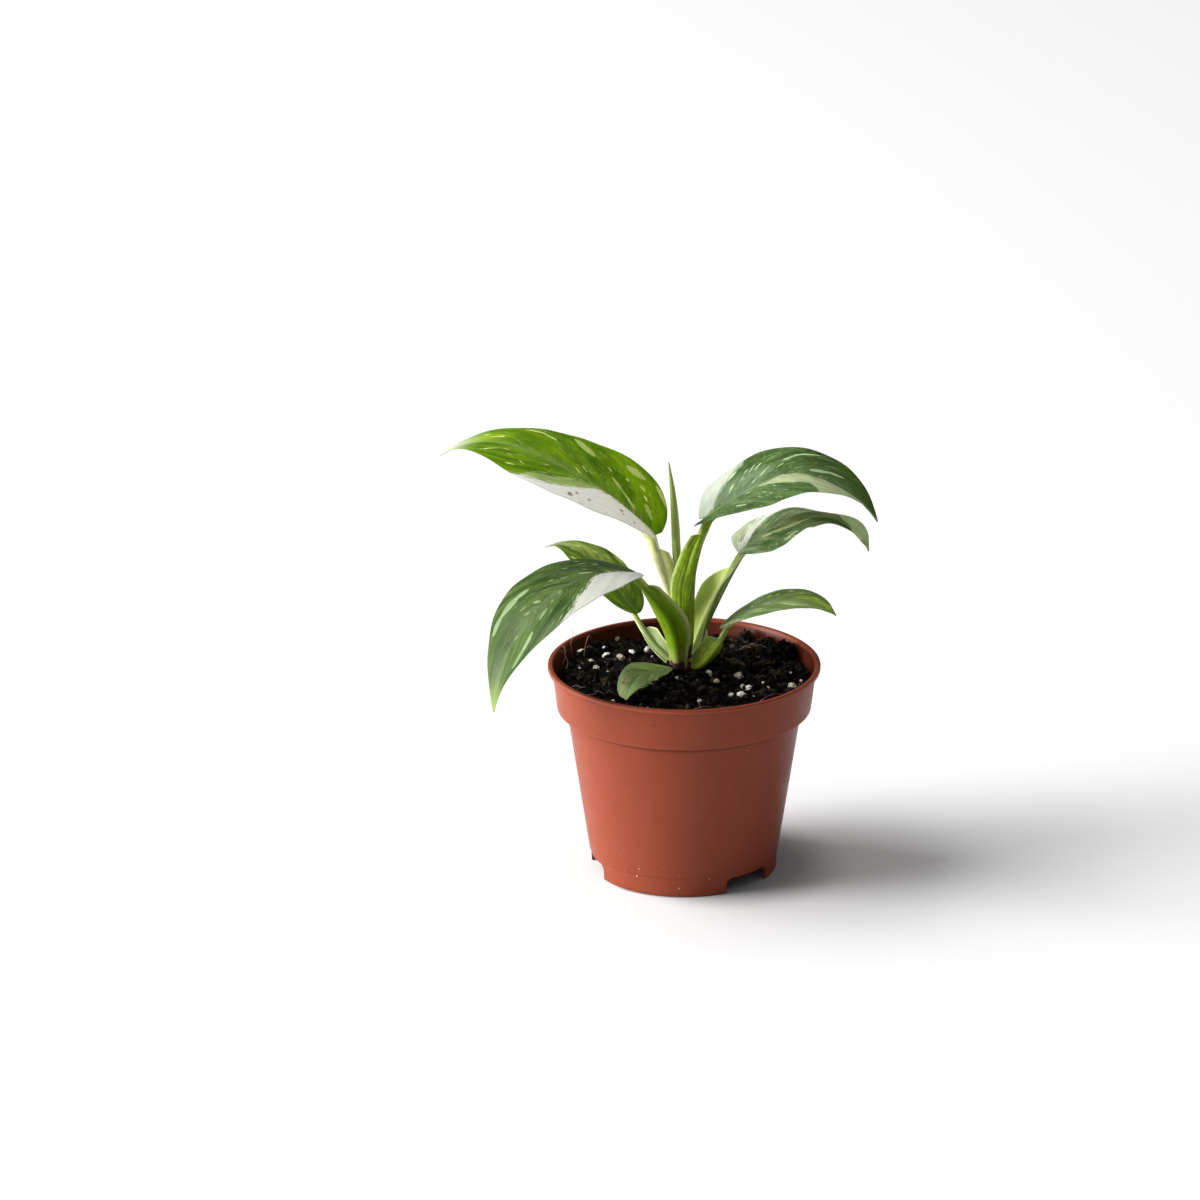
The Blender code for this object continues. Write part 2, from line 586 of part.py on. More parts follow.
def build_leaves(blade_material, stalk_material, parent, stem_cutter):
    """Every blade with its stalk. Returns the cutters that keep the stalks clear."""
    seats = []
    for name, leaf in LEAVES.items():
        petiole = add_solid("petiole_" + name, *stalk_mesh(name), stalk_material, parent)
        cut(petiole, [stem_cutter])
        seat = add_cutter("seat_cutter_" + name, *stalk_mesh(name, GAP), stalk_material, parent)
        blade = add_solid("leaf_" + name, *blade_mesh(leaf), blade_material, parent)
        cut(blade, [seat])
        seats.append(seat)
    return seats


def build_lumps(kind, entries, subdivisions, roughness, material, parent):
    """Grains or chips half sunk in the mix, and the cutters that make their beds."""
    beds = []
    for index, entry in enumerate(entries):
        x, y = entry[:2]
        half_sizes = entry[2:5]
        azimuth = entry[5] if len(entry) > 5 else 40.0 * index
        centre = (x, y, soil_height(x, y) + 0.25 * half_sizes[2])
        shape = (centre, half_sizes, azimuth, subdivisions, roughness, 7.3 * index)
        add_solid(f"{kind}_{index + 1}", *lump_mesh(*shape), material, parent)
        beds.append(add_cutter(f"{kind}_cutter_{index + 1}", *lump_mesh(*shape, grow=GAP), material, parent))
    return beds


def move_to_origin(parent):
    """Put the bottom centre of everything built at the origin."""
    bpy.context.view_layer.update()
    graph = bpy.context.evaluated_depsgraph_get()
    corners = []
    for thing in bpy.context.scene.objects:
        if thing.type == "MESH" and not thing.hide_render:
            solid = thing.evaluated_get(graph)
            corners += [solid.matrix_world @ vertex.co for vertex in solid.data.vertices]
    low, high = np.min(corners, axis=0), np.max(corners, axis=0)
    middle = (low + high) / 2.0
    parent.location = (-middle[0], -middle[1], -low[2])
    bpy.context.view_layer.update()


def build():
    clear_scene()
    pot_axis = bpy.data.objects.new("pot_axis", None)
    bpy.context.scene.collection.objects.link(pot_axis)
    terracotta = make_material("terracotta_plastic", (0.42, 0.13, 0.08), 0.38)
    peat = make_material("potting_mix", (0.012, 0.009, 0.007), 0.95)
    green = make_material("stem_green", (0.16, 0.26, 0.05), 0.45)
    blade = make_material("leaf_green", (0.12, 0.24, 0.06), 0.42)
    root = make_material("root_cream", (0.55, 0.45, 0.30), 0.7)
    perlite = make_material("perlite_white", (0.75, 0.70, 0.60), 0.9)
    bark = make_material("bark_brown", (0.05, 0.03, 0.02), 0.9)

    build_pot(terracotta, pot_axis)
    stem, stem_cutter = build_stem(green, pot_axis)
    tunnels = build_roots(root, pot_axis, stem_cutter)
    seats = build_leaves(blade, green, pot_axis, stem_cutter)
    add_solid("new_leaf", *swept(NEW_LEAF_COURSE, NEW_LEAF_RADII, 8, 14), blade, pot_axis)
    scale_leaf = swept(CATAPHYLL_COURSE, CATAPHYLL_RADII, 8, 9, CATAPHYLL_FLATNESS)
    add_solid("cataphyll", *scale_leaf, green, pot_axis)
    beds = build_lumps("perlite", GRAINS, 1, 0.35, perlite, pot_axis)
    beds += build_lumps("bark_chip", CHIPS, 1, 0.45, bark, pot_axis)
    soil = add_solid("potting_mix", *soil_mesh(), peat, pot_axis)
    cut(soil, [stem_cutter] + tunnels + beds + seats)
    move_to_origin(pot_axis)


build()
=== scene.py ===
"""Finished surfaces of a variegated philodendron in a round plastic nursery pot.

The file is laid out as an add-on: settings, one operator for each group of like pieces, and
a panel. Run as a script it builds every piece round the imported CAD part. Pieces are drawn
round the pot's axis, and each mesh then moves by the axis' place in the part.
"""

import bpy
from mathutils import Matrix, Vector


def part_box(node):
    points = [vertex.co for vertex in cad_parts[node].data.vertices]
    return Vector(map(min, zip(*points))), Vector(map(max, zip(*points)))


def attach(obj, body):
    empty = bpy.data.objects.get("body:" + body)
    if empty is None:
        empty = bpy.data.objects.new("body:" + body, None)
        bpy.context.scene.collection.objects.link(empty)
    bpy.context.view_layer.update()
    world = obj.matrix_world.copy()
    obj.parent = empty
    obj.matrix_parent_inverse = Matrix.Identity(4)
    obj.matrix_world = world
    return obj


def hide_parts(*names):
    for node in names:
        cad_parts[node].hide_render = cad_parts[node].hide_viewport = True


bl_info = {
    "name": "Potted philodendron",
    "version": (1, 0, 0),
    "blender": (4, 5, 0),
    "location": "3D View > Sidebar > Philodendron",
    "description": "Builds the leaves, stalks, potting mix and pot round the packed part",
    "category": "Add Mesh",
}

import math

import bmesh
import bpy
import numpy as np
from bpy.props import FloatProperty, FloatVectorProperty, IntProperty, PointerProperty
from mathutils import Matrix, Vector, noise

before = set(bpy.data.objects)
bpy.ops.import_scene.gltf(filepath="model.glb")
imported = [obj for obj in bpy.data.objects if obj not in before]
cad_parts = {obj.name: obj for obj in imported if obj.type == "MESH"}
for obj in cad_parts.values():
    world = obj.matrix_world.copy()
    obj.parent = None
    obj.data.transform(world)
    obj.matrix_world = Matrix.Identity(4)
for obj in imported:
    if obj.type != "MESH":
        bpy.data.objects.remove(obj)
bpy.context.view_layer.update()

BODY = "root"

# ---- where the pot stands -------------------------------------------------------------

POT_LOW, POT_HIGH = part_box("pot")
AXIS = Vector(((POT_LOW.x + POT_HIGH.x) / 2.0, (POT_LOW.y + POT_HIGH.y) / 2.0, POT_LOW.z))
POT_HEIGHT = POT_HIGH.z - POT_LOW.z
LIP_RADIUS = (POT_HIGH.x - POT_LOW.x) / 2.0

# ---- the pot --------------------------------------------------------------------------

LIP_HEIGHT = 0.0021
POT_WALL = 0.0012
COLLAR_TOP_RADIUS = 0.0508
COLLAR_FOOT_RADIUS = 0.0490
COLLAR_FOOT = 0.0653
BODY_TOP_RADIUS = 0.0454
BODY_FOOT_RADIUS = 0.0367
FOOT_HEIGHT = 0.0077
FOOT_RADIUS = 0.0359
FLOOR_TOP = 0.0075
FLOOR_BOTTOM = 0.0063
NOTCH_COUNT = 3
NOTCH_FIRST = -46.0
NOTCH_HALF_WIDTH = 0.0105
NOTCH_HEIGHT = 0.0061
NOTCH_CORNER = 0.0025
NOTCH_MARGIN = 0.002
HOLE_COUNT = 6
HOLE_RADIUS = 0.0040
HOLE_CIRCLE = 0.0220
HOLE_DRILL = 0.012
HOLE_SIDES = 32
# Bands of painted light round the plastic: height, half width and tone. Painted highlights
# lie on the collar's lower edge and the lip's outer edge, and painted shade lies under the
# collar, on the rim's top face and under the lip.
PAINTED_LIGHT_BANDS = (
    (COLLAR_FOOT + 0.0005, 0.0006, 1.10), (COLLAR_FOOT - 0.0013, 0.0016, 0.50),
    (POT_HEIGHT, 0.0009, 0.78), (POT_HEIGHT - 0.0010, 0.0004, 1.35),
    (POT_HEIGHT - 0.0019, 0.0004, 0.80))
# Painted shade on the inside of the collar, as a share of its colour.
COLLAR_INSIDE_SHADE = 0.42
# Colours without a setting are in linear light, as the shaders take them.
PLASTIC_DUST = (0.62, 0.46, 0.38)
PLASTIC_SPECK = (0.72, 0.50, 0.38)
PLASTIC_GRIT = (0.80, 0.62, 0.50)
PLASTIC_SPLASH = (0.05, 0.018, 0.01)

# ---- the mix --------------------------------------------------------------------------

SOIL_LEVEL = 0.0755
SOIL_ROUGHNESS = 0.0011
# Mounds: x, y, rise and spread.
SOIL_MOUNDS = (
    (0, 0.006, 0.003, 0.012), (0.026, 0.026, 0.0032, 0.013), (-0.034, 0.022, 0.0018, 0.014),
)
SOIL_CLEARANCE = 0.0003
# The visible surface: how far it lies below the part's, and the scale and height of its
# clods, ridges, crumbs and finest grain.
MIX_SINK = 0.0005
MIX_CLODS = (210.0, 0.0009)
MIX_RIDGES = (260.0, 0.0016)
MIX_CRUMBS = (620.0, 0.0007)
MIX_FINE = (1500.0, 0.0003)
MIX_BARE_RINGS = 4
SLIVER_RADII = (0.00008, 0.0003)
SLIVER_LENGTH = 13.0
PEAT_BROWN = (0.014, 0.0090, 0.0058)
PEAT_GREY = (0.090, 0.074, 0.058)
COIR_DARK = (0.010, 0.007, 0.005)
COIR_PALE = (0.11, 0.075, 0.045)
PERLITE_STAINED = (0.30, 0.235, 0.13)
PERLITE_PIT = (0.16, 0.13, 0.09)
PERLITE_DIRT = (0.06, 0.045, 0.03)
BARK_DARK = (0.0035, 0.0026, 0.0020)
BARK_PALE = (0.17, 0.125, 0.075)
DRY_FIBRE = ((0.34, 0.22, 0.14), (0.12, 0.07, 0.04))
LIVING_ROOT = ((0.62, 0.50, 0.33), (0.40, 0.29, 0.17))
FIBRE_RADII = (0.00013, 0.00011, 0.00009, 0.00005)

# Grains of perlite: x, y, width and height in millimetres, and how clean the grain is.
GRAINS = (
    (-40, 23.5, 2.9, 2.8, 0.9), (-30, 20.5, 3.2, 2.6, 1), (-24.8, 18, 4.2, 3, 0.3),
    (-20.3, 26.2, 3, 2.2, 1), (-14.2, 28.5, 3.2, 3, 0.7), (-34, 8.5, 2.6, 2.5, 0.5),
    (21.2, 2, 4.2, 3.6, 0.3), (25, -10, 3.2, 2.4, 1), (41.2, -7, 3.8, 2.4, 0.3),
    (21.8, -19, 3.4, 3, 0.9), (-31, 29, 1.6, 1.6, 0.9), (-18, 32, 2, 1.9, 0.9),
    (-12, 20.5, 1.9, 1.9, 1), (-36, 16, 2.3, 2.2, 0.5), (-40.5, 9.5, 1.2, 1.2, 0.9),
    (-37.5, 11, 1.5, 1.5, 0.8), (-29.5, 6.5, 1.6, 1.5, 0.8), (-2.5, 8, 2, 1.9, 0.8),
    (22.5, -8, 2.3, 2.2, 0.4), (30, 4, 2.7, 1.3, 1), (30.5, -5.5, 1.6, 1.5, 0.9),
    (32, -9, 2, 1.9, 1), (41, 5, 1.6, 1.5, 1), (18, -17.5, 2, 1.9, 0.8),
    (19.8, -20.5, 1.7, 1.6, 0.9), (26.5, -20.5, 1.6, 1.5, 0.8), (6, -23, 2, 1.8, 0.8),
    (2, -28.5, 1.7, 1.2, 1), (9.5, 0.5, 2.8, 3.4, 0.5), (12.5, -7, 2.7, 2.2, 0.2),
    (37, -12, 1.9, 1.7, 0.4), (45, -1.5, 1.2, 1.2, 1), (-26, 41, 2.3, 2.2, 0.2),
    (-8, 38, 1.8, 1.5, 0.5), (6, 41, 2.2, 1.8, 0.6), (-43, -8, 1.5, 1.2, 0.8),
    (-27, -24, 1.8, 1.6, 0.6), (-14, -33, 1.6, 1.4, 0.7), (-33, -12, 1.4, 1.2, 0.6),
    (14, 36, 1.7, 1.4, 0.5), (35, 14, 1.5, 1.3, 0.4), (-6, -38, 1.5, 1.3, 0.7),
    (-2.7, -3.4, 1.7, 1.6, 0.9), (0.6, -2.2, 1.1, 1, 0.8),
)
# Chips of bark and sticks: x, y, three half sizes in millimetres, azimuth and how pale.
CHIPS = (
    (39, 22.5, 4.4, 3.4, 3.7, 25, 0), (33.5, 30.5, 2.8, 2.2, 2, 80, 0),
    (26.5, 27, 4.2, 1.6, 1.2, 20, 0.9), (24, 38.5, 3.2, 2.6, 2.8, -35, 0.12),
    (19, 14, 4.5, 1.2, 1, -40, 0.45), (31, 33, 3.2, 2.2, 1.5, 60, 0.2),
    (12, 30, 3.6, 1.5, 1.1, 10, 0.25), (15, 24, 2.6, 1.4, 1.1, 75, 0.15),
    (30, 12, 3.4, 1.3, 1, 15, 0.3), (-25, 34, 3, 1.6, 1.2, 40, 0.2),
    (-40, 2, 3.2, 1.4, 1.2, 80, 0.25), (-22, 8, 2.8, 1.3, 1, -20, 0.3),
    (-12, 12, 2.2, 1.4, 1, 30, 0.2), (-30, -4, 2.8, 1.5, 1, -60, 0.25),
    (-16, -16, 3, 1.4, 1, 10, 0.15), (-4, -18, 2.6, 1.5, 1, 50, 0.2),
    (10, -14, 3, 1.4, 1, -15, 0.2), (28, -2, 3.2, 1.4, 1, 35, 0.25),
    (36, 3, 3, 1.5, 1.1, -50, 0.15), (31, -15, 3.2, 1.8, 1, 12, 0.25),
    (14, -31, 2.6, 1.2, 0.9, -5, 0.3), (-2, 34, 3, 1.8, 1.2, 20, 0.2),
    (42, 9, 2.4, 1.4, 1.2, 70, 0.5),
)
# Loose root fibres: the points of each in millimetres, with heights above the rim's foot.
FIBRES = (
    ((-43.5, 22, 78), (-44, 22.5, 82), (-43.2, 23, 85), (-43.6, 23.4, 88.6)),
    ((-47, 10, 78), (-46, 12, 80.5), (-46.3, 14, 83.6), (-48, 15, 84.6)),
    ((-45.5, 8, 77), (-45, 11, 79), (-46.5, 12.5, 82), (-49.6, 12.6, 83.9)),
    ((-39, 20, 78), (-38, 22, 83), (-37, 23.5, 85), (-36, 24, 84)),
    ((-43, -14, 78), (-41, -16.5, 79.4), (-39.4, -19, 79.6), (-37.6, -20, 80)),
    ((-37, -23, 78), (-34, -26, 79.5), (-33, -27, 81.2), (-30, -28.6, 80.4)),
    ((8, -42, 78.5), (6.4, -42.8, 80.2), (5.6, -42.4, 82.4), (5.2, -42, 84.4)),
    ((2, -43, 78.5), (4, -43.6, 80.2), (7.6, -43.8, 81.2), (11, -43, 80.6)),
    ((27, -35.5, 78), (30, -34, 80.6), (34, -31, 81.4), (38, -27, 80)),
)

# ---- the leaves -----------------------------------------------------------------------
# Lists run from the foot of the blade to its tip. pitch, heading and roll turn the midrib;
# fold_left and fold_right lift the two halves; curl bends each half on towards its margin;
# shape holds the two powers of the outline; lobe draws the foot back at the sides.

LEAVES = {
    "upper_left": dict(
        base=(-0.0113, 0.006, 0.132), length=0.098, half_width=0.0228, pitch=(45, 30, 9, -38),
        heading=(157, 171, 159, 171), roll=(-5, -23, -16, 14), fold_left=(30, 21, 5),
        fold_right=(36, -6, 18), curl=11, shape=(0.52, 0.9), lobe=(0.001, 0.001)),
    "lower_left": dict(
        base=(-0.0177, -0.0076, 0.1218), length=0.0942, half_width=0.0222,
        pitch=(16, -10, -48, -84), heading=(207, 220, 227, 223), roll=(6, -1, 2, 19),
        fold_left=(13, 15, 30), fold_right=(13, 2, 17), curl=15, shape=(0.45, 1.01),
        lobe=(-0.001, -0.001)),
    "back_left": dict(
        base=(-0.0181, 0.0242, 0.094), length=0.053, half_width=0.0144, pitch=(37, 31, 18, -28),
        heading=(137, 138, 139, 160), roll=(13, 10, 6, 4), fold_left=(7, 19, 15),
        fold_right=(8, 14, 15), curl=16, shape=(0.6, 0.99), lobe=(0, 0)),
    "upper_right": dict(
        base=(0.0082, 0.008, 0.1391), length=0.078, half_width=0.0202, pitch=(35, 26, -18, -58),
        heading=(5, -2, -16, -18), roll=(20, 13, 2, -6), fold_left=(15, 10, 15),
        fold_right=(32, 4, 33), curl=10, shape=(0.77, 1.03), lobe=(0.003, 0.006)),
    "middle_right": dict(
        base=(0.021, 0.0121, 0.1231), length=0.0625, half_width=0.0176, pitch=(32, 29, -16, -80),
        heading=(36, -7, -4, -5), roll=(18, 10, -12, 23), fold_left=(9, 1, 28),
        fold_right=(25, 4, 23), curl=22, shape=(0.71, 1.04), lobe=(0, 0)),
    "lower_right": dict(
        base=(0.0152, 0.0041, 0.0965), length=0.048, half_width=0.0098, pitch=(33, 21, -3, -52),
        heading=(4, 3, -1, -10), roll=(3, 6, 9, 6), fold_left=(4, 6, 13), fold_right=(20, 14, 13),
        curl=17, shape=(0.67, 0.84), lobe=(0.002, 0.002)),
    "front": dict(
        base=(-0.0047, 0.003, 0.0794), length=0.0375, half_width=0.0066, pitch=(8, 10, -13, -21),
        heading=(221, 235, 246, 266), roll=(1, -9, -10, 29), fold_left=(8, 7, 17),
        fold_right=(11, 16, 2), curl=7, shape=(0.6, 0.62), lobe=(0, 0)),
}

# How each blade is finished. A place is hundredths of the midrib, and hundredths of the way
# to a margin, with the left margin at 100 and the right one at -100. Colours go from 0 to 255.
#   stripes: strength of the light and of the dark stripes
#   tip: colour, the part of the midrib at which it starts, and strength
#   lift: how much lighter the greens are than given; greens: dark, middle and light
#   fleck: colour of the streaks and flecks; flecks: how many there are
#   washes: colour, strength, from, to, half width and softness in millimetres
#   sectors: colour, side, raggedness, and the low and high borders along the midrib
#   streaks: from, to, half width in millimetres, and strength
#   spots: place and radius in millimetres
#   bulges: part of the midrib, side, depth and width of a change in the outline

TO_MARGIN = ((0, 120), (100, 120))

# Every blade's relief. Lengths in metres are for a blade of this half width, and shrink with it.
FULL_HALF_WIDTH = 0.0228
FIRST_ROW = 0.004
ROW_SPAN = 0.981
COLUMN_CROWDING = 1.25
VEIN_SLANT = 0.12
VEIN_SPREAD = (0.35, 0.20)
VEIN_SHIFT = 0.8
# Waves along a margin: count, shift between the sides and share of the height.
MARGIN_WAVES = ((2.6, 0.13, 0.6), (5.7, 0.31, 0.4))
GROOVE_DEPTH = 0.00022
GROOVE_WIDTH = 0.55 / 1000.0
RIB_WIDTH = 0.85 / 1000.0
MARGIN_THINNING = 0.62
# Flecks: stretch, scale, core and edge radius, channel of chance, and strength.
FLECK_KINDS = (((1.9, 1.0, 1.0), 0.62, 0.08, 0.22, 1, 0.7),
               ((1.0, 1.6, 1.0), 1.5, 0.05, 0.34, 0, 0.6))
FLECK_SHARE = 0.34
SECTOR_SOFTNESS = 0.035
# Linear tints of the band beside the midrib, the spots, the dry tip and the underside, and
# what light gains by passing through a blade.
BAND_TINT = (0.20, 0.25, 0.15)
SPOT_HALO = (0.62, 0.50, 0.36)
SPOT_BROWN = (0.16, 0.085, 0.045)
DRY_TIP = (0.22, 0.17, 0.12)
UNDERSIDE = (0.30, 0.33, 0.20)
PASSED_LIGHT = (1.35, 1.20, 0.35)

BLADES = {
    "upper_left": dict(
        rows=230, columns=92, band=0.3, flecks=0.85, veins=11, shine=0.08, fleck=(222, 232, 164),
        stripes=(0.16, 0.45), tip=((208, 208, 192), 0.78, 0.92), lift=(1.7, 1.34, 1.04),
        greens=((56, 100, 4), (92, 138, 8), (138, 168, 24)),
        washes=(
            ((112, 158, 14), 0.75, (2, -70), (30, -85), 4, 6),
            ((122, 168, 34), 0.65, (72, -45), (90, -10), 3, 4),
            ((98, 138, 72), 0.7, (30, 2), (80, -2), 1.6, 3),
            ((88, 124, 54), 0.45, (22, -12), (52, -52), 1.8, 3),
            ((58, 96, 4), 0.6, (18, -35), (36, -50), 2, 3),
            ((62, 104, 6), 0.5, (55, -45), (66, -25), 1.6, 3)),
        sectors=(
            ((178, 199, 122), 1, 1, ((0, 0), (20, 2), (30, 6), (40, 24), (46, 44), (50, 60),
              (54, 74), (56.5, 95), (58.5, 120), (100, 120)), TO_MARGIN),
            ((246, 242, 241), 1, 0.55, ((0, 0), (10, 3), (25, 8), (31, 20), (36, 48), (42, 66),
              (47, 78), (53, 88), (57, 96), (60, 103), (63, 120), (100, 120)), TO_MARGIN)),
        streaks=(
            (27, -34, 20, -22, 0.55, 0.55), (20, -22, 13, -10, 0.5, 0.6),
            (47, -88, 37, -62, 1.5, 0.55), (68, -86, 60, -80, 0.55, 0.85),
            (61, -80, 54, -67, 0.5, 0.8), (24.5, -78, 18, -80, 1.6, 0.55),
            (13, -93, 6, -97, 0.8, 0.65), (11.5, -40, 6, -30, 0.8, 0.5),
            (78, -32, 73, -36, 0.5, 0.9), (81, -50, 79, -55, 0.6, 0.6), (77, 70, 71, 36, 0.4, 0.9),
            (60, 50, 58, 56, 0.35, 0.7), (64, 80, 60.5, 72, 0.4, 0.8),
            (39, -24, 36, -16, 0.35, 0.8), (41, -12, 37.5, -3, 0.3, 0.7),
            (22.5, -52, 21.5, -50, 0.6, 0.7), (14, -52, 12, -48, 0.4, 0.8),
            (30, -50, 28.5, -46, 0.35, 0.7), (69, 30, 67, 26, 0.3, 0.7), (66, 45, 64, 42, 0.3, 0.7),
            (52, 25, 50, 20, 0.3, 0.6), (17, -62, 15, -60, 0.45, 0.6)),
        spots=(
            (37.5, 82, 1.9), (35.5, 70, 1), (30, 72, 1.1), (16.5, 45, 1.5), (15, 58, 0.9),
            (9.5, 66, 0.9)),
        bulges=()),
    "upper_right": dict(
        rows=200, columns=84, band=0.25, flecks=0.9, veins=10, shine=0.2, fleck=(210, 232, 188),
        stripes=(0.36, 0.5), tip=((92, 112, 40), 0.92, 0.6), lift=(1.45, 1.18, 1.05),
        greens=((44, 76, 32), (76, 112, 64), (112, 144, 104)),
        washes=(
            ((104, 136, 110), 0.7, (8, 25), (36, 30), 5, 6),
            ((92, 122, 88), 0.5, (15, -50), (45, -60), 3, 4),
            ((50, 82, 26), 0.65, (45, 70), (80, 35), 3.5, 5),
            ((58, 92, 0), 0.95, (68, 90), (97, 10), 5, 4)),
        sectors=(
            ((166, 188, 150), 1, 0.55, ((0, 0), (5, 12), (10, 34), (15, 56), (20, 70), (26, 84),
              (32, 120), (100, 120)), TO_MARGIN),
            ((215, 222, 206), 1, 0.4, ((0, 0), (5, 16), (10, 42), (15, 66), (20, 80), (25, 98),
              (30, 120), (100, 120)), TO_MARGIN),
            ((186, 197, 152), -1, 0.16, ((0, 10), (35, 6), (42, -4), (55, 0), (66, 18), (76, 34),
              (86, 50), (100, 70)), ((0, 0), (26, 0), (33, 14), (40, 27), (46, 33), (50, 40),
              (55, 42), (60, 52), (64, 70), (68, 110), (86, 120), (90, 40), (94, 0), (100, 0)))),
        streaks=(
            (43.5, 50, 49, 68, 0.55, 0.75), (48.5, 68, 57.5, 82, 0.62, 0.75),
            (56.5, 17, 64, 25, 0.95, 0.6), (63, 26, 71.5, 37, 0.85, 0.55),
            (28.5, 50, 31.5, 63, 0.27, 0.9), (31.5, 48, 34.5, 61, 0.27, 0.95),
            (18.5, 70, 23, 76, 0.41, 1), (32, 20, 37.5, 40, 0.24, 0.9),
            (27.5, 12, 30.5, 22, 0.2, 0.7), (16, 25, 19.5, 43, 0.27, 0.9),
            (41, 30, 43.7, 41, 0.24, 0.7), (23.5, -15, 27.5, -21, 0.27, 0.8),
            (19, -62, 23.5, -74, 0.34, 0.9), (37, -58, 38.5, -62, 0.24, 0.6),
            (39, -34, 40.5, -38, 0.24, 0.6), (33, -44, 35, -50, 0.2, 0.5),
            (30, -55, 32, -60, 0.2, 0.5), (45, -62, 48, -66, 0.24, 0.4),
            (26, 55, 28, 62, 0.24, 0.8), (24, 40, 25.5, 47, 0.2, 0.7)),
        spots=(), bulges=((0.04, 1, 0.45, 0.08),)),
    "lower_left": dict(
        rows=220, columns=90, band=0.2, flecks=1.05, veins=11, shine=0.18, fleck=(160, 182, 140),
        stripes=(0.16, 0.42), tip=((160, 186, 96), 0.84, 0.7), lift=(1.36, 0.94, 1.38),
        greens=((38, 72, 22), (74, 114, 44), (116, 156, 84)),
        washes=(
            ((52, 82, 38), 0.55, (8, -30), (34, -55), 4, 5),
            ((104, 142, 88), 0.34, (42, 10), (62, 20), 2.5, 5),
            ((116, 156, 84), 0.42, (76, 0), (97, 0), 3, 5),
            ((52, 90, 28), 0.7, (46, -45), (76, -60), 3.5, 4)),
        sectors=(
            ((150, 168, 122), 1, 0.8, ((0, 0), (12, -2), (17, 2), (22, 12), (30, 37), (36, 55),
              (42, 64), (47, 81), (53, 91), (60, 101), (66, 120), (100, 120)), TO_MARGIN),
            ((204, 204, 198), 1, 0.7, ((0, 0), (12, 0), (17, 4), (22, 17), (30, 42), (36, 60),
              (42, 68), (47, 84), (53, 94), (60, 104), (66, 120), (100, 120)), TO_MARGIN)),
        streaks=(
            (45, -55, 51, -63, 1.1, 0.85), (50, -62, 60, -74, 1.6, 0.8),
            (60, -75, 69, -82, 1.1, 0.7), (19.5, -62, 16.5, -60, 0.45, 0.85),
            (15, -50, 13, -46, 0.4, 0.8), (25.5, -18, 20.5, -10, 0.5, 0.9),
            (18.5, -80, 16.5, -78, 0.4, 0.8), (37, -36, 35.5, -33, 0.5, 0.7),
            (33, -24, 30, -20, 0.4, 0.6), (50, -16, 48.5, -6, 0.8, 0.8),
            (51.5, 30, 57.5, 40, 0.6, 0.7), (64, 52, 71, 68, 0.95, 0.75),
            (70, 68, 79, 80, 0.9, 0.6), (57, -13, 55, -8, 0.5, 0.6), (68, -2, 66, 3, 0.5, 0.6),
            (56, -30, 53, -26, 0.5, 0.5), (40, 10, 42, 16, 0.5, 0.5), (46, 20, 48, 26, 0.5, 0.45),
            (27, -55, 25, -52, 0.4, 0.6), (22, -30, 20, -27, 0.3, 0.6)),
        spots=((20.5, 30, 0.5), (12, 35, 0.5)), bulges=()),
    "middle_right": dict(
        rows=170, columns=76, band=0.25, flecks=0.5, veins=9, shine=0.2, fleck=(226, 240, 212),
        stripes=(0.4, 0.6), tip=((132, 158, 70), 0.86, 0.7), lift=(2.3, 2, 2.4),
        greens=((50, 78, 34), (104, 128, 88), (146, 162, 126)),
        washes=(
            ((128, 148, 112), 0.55, (24, 10), (52, 35), 3, 5),
            ((58, 86, 34), 0.8, (16, -75), (46, -75), 2, 3),
            ((150, 164, 122), 0.85, (78, 55), (96, 20), 3.6, 3)),
        sectors=(
            ((240, 242, 230), 1, 0.4, ((0, 0), (6, 5), (13, 22), (22, 50), (30, 85), (34, 120),
              (100, 120)), TO_MARGIN),
            ((192, 200, 166), 1, 1.8, ((0, 28), (8, 42), (15, 64), (22, 94), (26, 120), (100, 120)),
             TO_MARGIN),
            ((222, 236, 180), 1, 0.2, ((0, 120), (64, 120), (80, -120), (86, -120), (97, 120),
              (100, 120)), TO_MARGIN)),
        streaks=(
            (18, -16, 28, -30, 0.9, 0.75), (27, -29, 38, -42, 1.15, 0.75),
            (37, -40, 47, -46, 1.4, 0.75), (46, -44, 53, -42, 1, 0.6), (36, -86, 41, -88, 0.7, 0.5),
            (40, -84, 47, -86, 0.6, 0.7), (38, -70, 44, -76, 0.3, 0.6),
            (26, -84, 29, -86, 0.7, 0.25)),
        spots=((55.5, -98, 0.8), (60, -99, 0.6)),
        bulges=(
            (0.52, -1, -0.1, 0.035), (0.565, -1, 0.1, 0.02), (0.6, -1, 0.06, 0.02),
            (0.03, 1, 0.4, 0.05), (0.975, 1, -0.5, 0.055), (0.975, -1, -0.5, 0.055))),
    "lower_right": dict(
        rows=150, columns=60, band=0.25, flecks=0.45, veins=9, shine=0.18, fleck=(216, 232, 168),
        stripes=(0.38, 0.5), tip=((150, 146, 74), 0.9, 0.7), lift=(2.6, 2.15, 3.5),
        greens=((64, 96, 30), (108, 136, 76), (156, 176, 112)),
        washes=(
            ((118, 142, 102), 0.55, (15, 20), (50, 20), 2, 3.5),
            ((138, 170, 44), 0.85, (64, 10), (95, 0), 2.2, 3.5)),
        sectors=(
            ((200, 206, 168), -1, 0.3, ((0, 20), (10, 55), (18, 85), (25, 120), (100, 120)),
             TO_MARGIN),),
        streaks=(
            (50, -40, 57, -62, 0.7, 0.95), (56, -62, 64, -74, 0.75, 0.95),
            (63, -74, 73, -76, 0.5, 0.9), (77, 35, 80, 25, 0.9, 0.85), (60, 72, 58, 62, 0.8, 0.8),
            (28, 34, 27, 22, 0.7, 0.8), (90, 45, 92, 40, 0.6, 0.8), (36, 5, 42, 8, 0.6, 0.6),
            (44, 62, 40, 50, 0.6, 0.7), (50, 55, 47, 45, 0.5, 0.7), (68, 55, 66, 45, 0.5, 0.6)),
